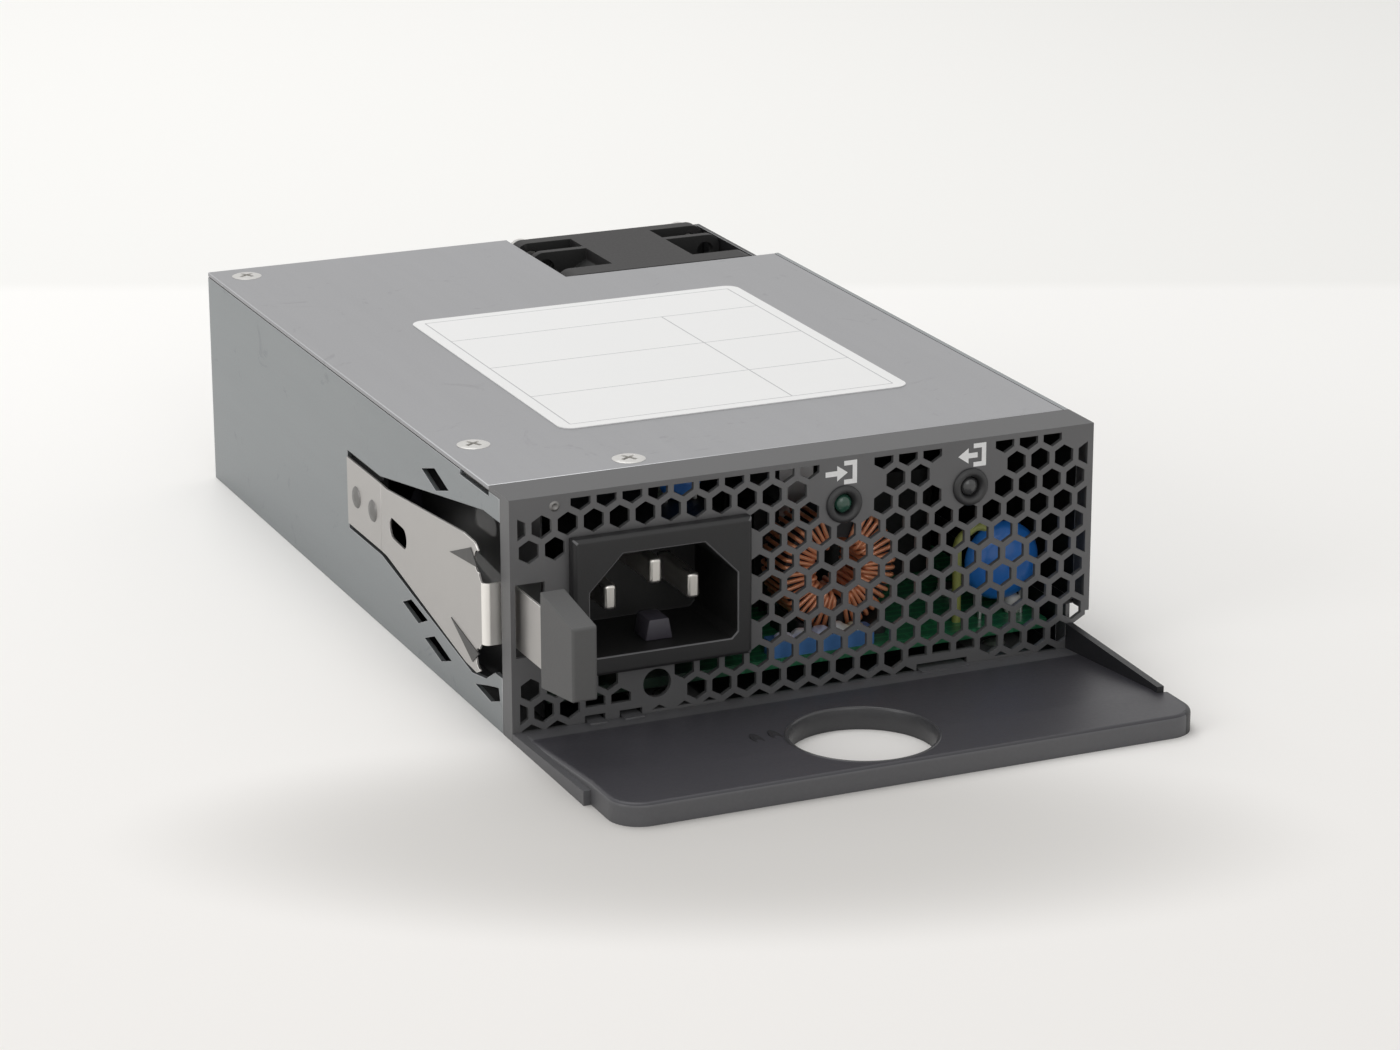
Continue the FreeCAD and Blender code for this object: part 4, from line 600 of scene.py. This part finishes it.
# choke: two banks of close wound turns, each a rounded loop round the core's section, and every other
# one lies over its neighbours inside the core
choke = {"inner": (4.78, 4.1), "outer": 9.85, "halfLength": 4.2, "wire": 0.36, "corner": 0.7, "turns": 21,
         "firstAngle": 111.0, "span": 150.0}
chokeMiddle = middleOf("choke_core")
turnsMade = []
for bank in (1, -1):
    for count in range(choke["turns"]):
        swept = choke["firstAngle"] - 90 + choke["span"] * count / (choke["turns"] - 1)
        angle = math.radians(90 + bank * swept)
        outward = Vector((math.cos(angle), 0, math.sin(angle)))
        start = chokeMiddle + outward * choke["outer"] * mm
        longRun = choke["halfLength"] - choke["corner"]
        shortRun = choke["outer"] - choke["inner"][count % 2] - 2 * choke["corner"]
        corner = ("bend", 90, choke["corner"])
        steps = [("run", longRun), corner, ("run", shortRun), corner, ("run", 2 * longRun), corner,
                 ("run", shortRun), corner, ("run", longRun)]
        turnsMade.append(wireRun(start, (0, -1, 0), -outward, choke["wire"], steps, closed=True))
finishPiece("chokeTurns", joined(turnsMade), ["copperEnamel"], "housing", ["choke_winding"], sharpAngle=60)

# dipped discs: rounded bodies on two leads
discs = {
    "varistorBody": {"node": "varistor_disc", "radius": 6.6, "thick": 4.0, "lift": 14.6, "spread": 3.75},
    "classYBody": {"node": "class_y_capacitor", "radius": 3.57, "thick": 3.2, "lift": 33.7, "spread": 2.5},
}
discLeads = {"radius": 0.4, "sunk": 0.8}
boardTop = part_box("main_board")[1][2] / mm
for discName, disc in discs.items():
    middle = middleOf(disc["node"])
    centre = Vector((middle.x, middle.y, disc["lift"] * mm))
    half = disc["thick"] / 2
    rim = disc["radius"]
    front = [(0, half * 0.96), (rim * 0.6, half), (rim - half, half * 0.92), (rim - half * 0.35, half * 0.62),
             (rim, half * 0.1)]
    profile = front + [(radius, -height) for radius, height in reversed(front)]
    shapes = [turned(profile, centre, (0, -1, 0), 48)]
    for sign in (1, -1):
        foot = Vector((centre.x + sign * disc["spread"] * mm, centre.y, boardTop * mm))
        rise = (disc["lift"] - boardTop - math.sqrt(max(rim ** 2 - disc["spread"] ** 2, 0.1))
                + discLeads["sunk"])
        lead = wireRun(foot, (0, 0, 1), (-sign, 0, 0), discLeads["radius"], [("run", rise)])
        for side in lead.faces:
            side.material_index = 1
        shapes.append(lead)
    finishPiece(discName, joined(shapes), ["dipBlue", "tinnedLead"], "housing", [disc["node"]], sharpAngle=60)

# sealing compound heaped along the top of the film capacitor
heaps = {"starts": [(-1.2, 1.5, 0.9), (1.9, 1.8, 1.2), (5.2, 1.7, 1.1), (8.3, 1.9, 1.3), (11.2, 1.4, 0.9)],
         "base": 7.8, "depth": 1.45, "bottom": -0.2, "lump": 0.28, "swirl": 1.7}
heapY = middleOf("capacitor_potting").y
shapes = []
for x, wide, tall in heaps["starts"]:
    heap = bmesh.new()
    bmesh.ops.create_icosphere(heap, subdivisions=3, radius=1.0)
    for vert in heap.verts:
        lump = 1 + heaps["lump"] * noise.noise(vert.co * heaps["swirl"] + Vector((x, 0, 0)))
        height = max(vert.co.z, heaps["bottom"])
        across, along = vert.co.x * wide * lump, vert.co.y * heaps["depth"] * lump
        vert.co = Vector((across, along, height * tall * lump)) * mm
    bmesh.ops.translate(heap, vec=(x * mm, heapY, heaps["base"] * mm), verts=heap.verts)
    shapes.append(closeUp(heap))
finishPiece("pottingHeaps", joined(shapes), ["pottingWhite"], "housing", ["capacitor_potting"], sharpAngle=70)

# small parts on the board's front edge
bead = {"x": 41.0, "y": 9.4,
        "profile": [(0, 3.1), (0.8, 3.1), (1.25, 2.7), (1.35, 1.5), (1.25, 0.2), (0.9, 0), (0, 0)]}
shape = turned(bead["profile"], at(bead["x"], bead["y"], boardTop), (0, 0, 1), 20)
finishPiece("ceramicBead", shape, ["beadWhite"], "housing", sharpAngle=60)
strap = {"x": 30.6, "y": 9.0, "radius": 0.75, "side": (1, 0, -0.2),
         "steps": [("run", 13.0), ("bend", 62, 2.4), ("run", 1.6), ("bend", 55, 2.4)]}
shape = wireRun(at(strap["x"], strap["y"], boardTop), (0, 0, 1), strap["side"], strap["radius"], strap["steps"],
                ringSides=10)
finishPiece("bondingLead", shape, ["leadGreen"], "housing", sharpAngle=60)

# black film standing inside the left wall, behind the latch window
film = {"x": -42.95, "thick": 0.3, "rear": 57.5, "front": 5.0, "low": 1.15, "high": 36.4, "ease": 0.08}
corners = [(film["front"], film["low"]), (film["rear"], film["low"]), (film["rear"], film["high"]),
           (film["front"], film["high"])]
shape = pushedOut([[at(film["x"], y, z) for y, z in corners]], (film["thick"] * mm, 0, 0))
eased(shape, list(shape.edges), film["ease"])
finishPiece("sideFilm", shape, ["filmBlack"], "housing")

# keying ridge on the inlet's floor, opposite the earth pin
ridge = {"shift": 0.7, "half": 2.3, "narrow": 0.72, "low": 12.5, "high": 15.9, "front": 1.6, "rear": 6.5,
         "ease": 0.25}
middleX = middleOf("inlet_housing").x / mm + ridge["shift"]
corners = [(middleX - ridge["half"], ridge["low"]), (middleX + ridge["half"], ridge["low"]),
           (middleX + ridge["half"] * ridge["narrow"], ridge["high"]),
           (middleX - ridge["half"] * ridge["narrow"], ridge["high"])]
shape = pushedOut([[at(x, ridge["front"], z) for x, z in corners]],
                  (0, (ridge["rear"] - ridge["front"]) * mm, 0))
eased(shape, list(shape.edges), ridge["ease"], 2)
finishPiece("inletRidge", shape, ["ridgeGrey"], "housing")


def bracketSign(left, right, low, high, bar):
    return [(left, high), (right, high), (right, low), (left, low), (left, low + bar),
            (right - bar, low + bar), (right - bar, high - bar), (left, high - bar)]


def arrowSign(tail, neck, tip, middle, half, wide):
    return [(tail, middle - half), (neck, middle - half), (neck, middle - wide), (tip, middle),
            (neck, middle + wide), (neck, middle + half), (tail, middle + half)]


# an arrow into a bracket and one out of it, a hair proud of the grille
signs = {"low": 34.2, "high": 38.0, "middle": 36.1, "bar": 0.75, "half": 0.42, "wide": 1.25, "proud": 0.05,
         "pairs": [("signIntoBox", (5.9, 8.1), (2.7, 4.7, 6.5)),
                   ("signOutOfBox", (28.5, 30.7), (29.2, 27.6, 25.8))]}
for signName, box, arrow in signs["pairs"]:
    outlines = [bracketSign(*box, signs["low"], signs["high"], signs["bar"]),
                arrowSign(*arrow, signs["middle"], signs["half"], signs["wide"])]
    shape = pushedOut([[at(x, 0, z) for x, z in outline] for outline in outlines],
                      (0, -signs["proud"] * mm, 0))
    finishPiece(signName, shape, ["signWhite"], "housing")

# lamp holders: a domed ring with a sunk lens
lamps = {"height": 31.0, "radius": 3.05, "proud": 0.68, "throat": 1.7, "neck": 2.25, "bore": 1.6, "rear": -4.9,
         "pairs": [("lensIn", 5.9, "lensGreen", "status_light_in"),
                   ("lensOut", 28.0, "lensSmoke", "status_light_out")]}
ringProfile = [(lamps["neck"], lamps["rear"]), (lamps["neck"], 0.0), (lamps["radius"], 0.0),
               (lamps["radius"], 0.3), (lamps["radius"] - 0.18, 0.52), (2.55, lamps["proud"]),
               (2.2, lamps["proud"]), (1.95, 0.5), (lamps["throat"], 0.1), (lamps["bore"], -1.2),
               (lamps["bore"], lamps["rear"]), (lamps["neck"], lamps["rear"])]
rings = [turned(ringProfile, at(x, 0, lamps["height"]), (0, -1, 0), 48) for _, x, _, _ in lamps["pairs"]]
finishPiece("lampRings", joined(rings), ["holderGrey"], "housing", ["light_holders"], sharpAngle=50)
lensProfile = [(0, 0.42), (0.55, 0.36), (1.05, 0.18), (1.4, -0.1), (1.5, -0.5), (1.5, -5.6), (0, -5.6)]
for lensName, x, finishName, nodeName in lamps["pairs"]:
    lensBody = turned(lensProfile, at(x, 0, lamps["height"]), (0, -1, 0), 32)
    finishPiece(lensName, lensBody, [finishName], "housing", [nodeName], sharpAngle=60)

# lid screws with cross recesses, and their shanks
screws = {"spots": [(-44.4, 143.3), (-44.4, 29.4), (-25.1, 12.6)], "top": 38.8, "head": 2.66, "crown": 0.22,
          "shank": 1.25, "reach": 4.9, "arm": 1.55, "half": 0.34, "deep": 0.9, "taper": 0.7, "twist": 28}


def crossRecess(shape, look):
    # cut the flat top by eight planes, then push the cross between them down
    arm, half = look["arm"], look["half"]
    top = [side for side in shape.faces if side.normal.z > 0.7]
    for direction in ((1, 0, 0), (0, 1, 0)):
        for level in (-arm, -half, half, arm):
            parts = set(top)
            for side in top:
                parts.update(side.edges, side.verts)
            bmesh.ops.bisect_plane(shape, geom=list(parts), plane_co=Vector(direction) * level * mm,
                                   plane_no=direction, dist=0.0)
            top = [side for side in shape.faces if side.normal.z > 0.7]
    chosen = []
    for side in top:
        centre = side.calc_center_median() / mm
        near, far = sorted((abs(centre.x), abs(centre.y)))
        if near < half and far < arm:
            chosen.append(side)
    made = bmesh.ops.extrude_face_region(shape, geom=chosen)["geom"]
    bmesh.ops.delete(shape, geom=chosen, context="FACES")
    floorVerts = newVerts(made)
    bmesh.ops.translate(shape, vec=(0, 0, -look["deep"] * mm), verts=floorVerts)
    bmesh.ops.scale(shape, vec=(look["taper"], look["taper"], 1), verts=floorVerts)


def crossScrew(centre, axis, look):
    head, crown, shank, reach = look["head"], look["crown"], look["shank"], look["reach"]
    profile = [(0, crown), (head * 0.72, crown * 0.86), (head * 0.92, crown * 0.4), (head, 0.0), (shank, -0.78),
               (shank, 0.4 - reach), (shank - 0.4, -reach), (0, -reach)]
    shape = turned(profile, Vector((0, 0, 0)), (0, 0, 1), 36)
    crossRecess(shape, look)
    twist = Matrix.Rotation(math.radians(look["twist"]), 3, "Z")
    bmesh.ops.rotate(shape, cent=(0, 0, 0), matrix=twist, verts=shape.verts)
    bmesh.ops.transform(shape, matrix=Matrix.Translation(centre) @ turnTo(axis), verts=shape.verts)
    return closeUp(shape)


heads = [crossScrew(at(x, y, screws["top"]), (0, 0, 1), screws) for x, y in screws["spots"]]
finishPiece("lidScrews", joined(heads), ["screwZinc"], "housing", ["cover_screws"], sharpAngle=34)

# latch rivets, and the small rivet on the bezel's upper corner
latchRivets = {"x": -50.3, "ys": (69.0, 61.0), "z": 19.35}
domeProfile = [(0, 0.5), (0.5, 0.5), (0.7, 0.4), (1.3, 0.36), (1.72, 0.2), (1.88, 0.0), (1.0, -0.02),
               (1.0, -2.4), (1.65, -2.42), (1.5, -2.8), (0, -2.86)]
domes = [turned(domeProfile, at(latchRivets["x"], y, latchRivets["z"]), (-1, 0, 0), 28)
         for y in latchRivets["ys"]]
finishPiece("latchRivetDomes", joined(domes), ["rivetDull"], "housing", ["latch_rivets"], sharpAngle=50)
cornerSpot = (-42.6, 0, 37.0)
cornerProfile = [(0, 0.04), (0.35, 0.05), (0.5, 0.2), (0.72, 0.16), (0.85, 0.0), (0.5, -0.05), (0.5, -0.9),
                 (0, -0.9)]
finishPiece("cornerRivet", turned(cornerProfile, at(*cornerSpot), (0, -1, 0), 24), ["rivetDull"], "housing",
            sharpAngle=50)

# pressed creases running down both ears of the latch to their notches
crease = {"tip": (20.8, 5.4), "rear": (10.4, 9.3), "front": (7.3, 7.0), "proud": 0.14, "sink": 0.1,
          "rootX": -50.3, "rootY": 57.0, "slope": 2.2 / 52.2, "middle": 19.35}
creases = []
for sign in (1, -1):
    creases.append([])
    for y, rise in (crease["tip"], crease["rear"], crease["front"]):
        x = crease["rootX"] - (crease["rootY"] - y) * crease["slope"]
        creases[-1].append(at(x + crease["sink"], y, crease["middle"] + sign * rise))
shape = pushedOut(creases, (-(crease["proud"] + crease["sink"]) * mm, 0, 0))
finishPiece("latchCreases", shape, ["leafShade"], "latch")

# the finger hole's level collar, and two small oval dents beside it in the cheek's very dark finish
collar = {"x": -3.6, "y": -27.0, "bore": 11.3, "rim": 11.95, "low": 0.12, "top": 3.74}
bore, rim, top = collar["bore"], collar["rim"], collar["top"]
collarProfile = [(bore, collar["low"]), (bore, top - 0.4), (bore + 0.12, top - 0.12), (bore + 0.3, top),
                 (rim - 0.15, top - 0.06), (rim, top - 0.25), (rim, 1.2), (rim - 0.3, collar["low"]),
                 (bore, collar["low"])]
ring = turned(collarProfile, at(collar["x"], collar["y"], 0), (0, 0, 1), 96)
finishPiece("fingerCollar", ring, ["collarGrey"], "housing", sharpAngle=60)
dents = {"spots": [(-18.6, -21.6), (-15.4, -21.2)], "radius": 0.85, "stretch": 3.2, "plateRise": 2.2 / 28.0,
         "rear": 1.4}
pips = []
for x, y in dents["spots"]:
    level = dents["rear"] - y * dents["plateRise"]
    spot = at(x, y, level)
    pip = turned([(dents["radius"], -0.06), (dents["radius"], 0.05), (0.6, 0.1), (0.45, 0.02), (0, -0.03)],
                 spot, (0, 0, 1), 28)
    bmesh.ops.scale(pip, vec=(1, dents["stretch"], 1), space=Matrix.Translation(-spot), verts=pip.verts)
    pips.append(pip)
finishPiece("handleDents", joined(pips), ["handleCheek"], "housing", sharpAngle=50)

# folded ear closing the keyed corner behind the bezel
keyFold = {"left": 46.2, "right": 47.0, "front": 0.85, "rear": 3.8, "low": 5.3, "high": 8.6, "slant": 1.2,
           "ease": 0.1}
corners = [(keyFold["front"], keyFold["low"]), (keyFold["rear"], keyFold["low"]),
           (keyFold["rear"], keyFold["high"] - keyFold["slant"]), (keyFold["front"], keyFold["high"])]
shape = pushedOut([[at(keyFold["left"], y, z) for y, z in corners]],
                  ((keyFold["right"] - keyFold["left"]) * mm, 0, 0))
eased(shape, list(shape.edges), keyFold["ease"])
finishPiece("keyEar", shape, ["bezelCoat"], "housing")

# floor and light; the floor's colour carries painted shade and a painted shadow
floorLook = {"size": 6.0, "near": (0.87, 0.845, 0.82), "middle": (0.95, 0.942, 0.925),
             "far": (0.9, 0.895, 0.875), "nearFrom": -0.4, "nearTo": 0.12, "edgeAt": 0.184, "edgeHalf": 0.004,
             "viewTurn": 23.87}
paintedFloorShadow = {"x": -0.036, "y": -0.122, "turn": -24.0, "long": 0.072, "wide": 0.0328, "tone": (0.5, 0.485, 0.465),
        "inner": 0.15, "outer": 1.7, "strength": 0.62}  # painted shadow: a soft darker patch on the floor in front of the handle
floorMesh = bpy.data.meshes.new("studioFloor")
shape = bmesh.new()
bmesh.ops.create_grid(shape, x_segments=1, y_segments=1, size=floorLook["size"])
shape.to_mesh(floorMesh)
shape.free()
floor = bpy.data.objects.new("studioFloor", floorMesh)
bpy.context.scene.collection.objects.link(floor)
paper = Finish("studioPaper", Roughness=0.9)
turn = math.radians(floorLook["viewTurn"])
depth = paper.along(0) * math.sin(turn) + paper.along(1) * math.cos(turn)
# painted shade: the floor turns darker towards the camera
nearShadeTone = paper.tint(paper.between(depth, floorLook["nearFrom"], floorLook["nearTo"]), floorLook["near"],
                      floorLook["middle"])
edge = paper.between(depth, floorLook["edgeAt"] - floorLook["edgeHalf"],
                     floorLook["edgeAt"] + floorLook["edgeHalf"])
cosine, sine = math.cos(math.radians(paintedFloorShadow["turn"])), math.sin(math.radians(paintedFloorShadow["turn"]))
fromX, fromY = paper.along(0) - paintedFloorShadow["x"], paper.along(1) - paintedFloorShadow["y"]
longWay = (fromX * cosine + fromY * sine) * (1 / paintedFloorShadow["long"])
wideWay = (fromY * cosine - fromX * sine) * (1 / paintedFloorShadow["wide"])
reach = longWay * longWay + wideWay * wideWay
shadowMask = paper.node("ShaderNodeMapRange", {"clamp": True, "interpolation_type": "SMOOTHSTEP"},
                    {"Value": reach, "From Min": paintedFloorShadow["inner"], "From Max": paintedFloorShadow["outer"], "To Min": 1.0,
                     "To Max": 0.0})
plainTone = paper.cover(edge, nearShadeTone, floorLook["far"])
# painted shadow laid over the floor's own colour
paper.feed("Base Color", paper.cover(shadowMask * paintedFloorShadow["strength"], plainTone, paintedFloorShadow["tone"]))
floorMesh.materials.append(paper.material)

world = bpy.data.worlds.new("studioWorld")
bpy.context.scene.world = world
world.use_nodes = True
sky = Wire(world.node_tree)
rays = world.node_tree.nodes.new("ShaderNodeLightPath")
backLight = {"strength": 0.52, "seenStrength": 0.93, "colour": (1.0, 0.995, 0.985)}
background = world.node_tree.nodes["Background"]
background.inputs["Color"].default_value = (*backLight["colour"], 1)
seen = Wire(world.node_tree, rays.outputs["Is Camera Ray"])
for ray in ("Is Glossy Ray", "Is Transmission Ray"):
    seen = seen + Wire(world.node_tree, rays.outputs[ray])
extra = backLight["seenStrength"] - backLight["strength"]
level = backLight["strength"] + sky.sums("MINIMUM", seen, 1.0) * extra
world.node_tree.links.new(level.socket, background.inputs["Strength"])

studioLamps = {
    "overhead": {"spot": (-0.14, 0.2, 0.95), "aim": (0, 0, 0), "size": 0.7, "power": 3.1},
    "rearSoft": {"spot": (0.05, 0.7, 0.62), "aim": (0, -0.1, 0.0), "size": 0.35, "power": 1.5, "glare": False},
    "leftFill": {"spot": (-0.95, -0.25, 0.45), "aim": (0, 0, 0.02), "size": 0.5, "power": 1.6},
    "frontFill": {"spot": (-0.1, -1.1, 0.5), "aim": (0, 0, 0.02), "size": 0.5, "power": 1.3},
}
for lampName, lamp in studioLamps.items():
    light = bpy.data.lights.new(lampName, "AREA")
    light.size = lamp["size"]
    light.energy = lamp["power"]
    holder = bpy.data.objects.new(lampName, light)
    holder.location = lamp["spot"]
    towards = Vector(lamp["aim"]) - Vector(lamp["spot"])
    holder.rotation_euler = towards.to_track_quat("-Z", "Y").to_euler()
    holder.visible_glossy = lamp.get("glare", True)  # rearSoft only draws the shadow forward
    bpy.context.scene.collection.objects.link(holder)
print("floor and lamps set")
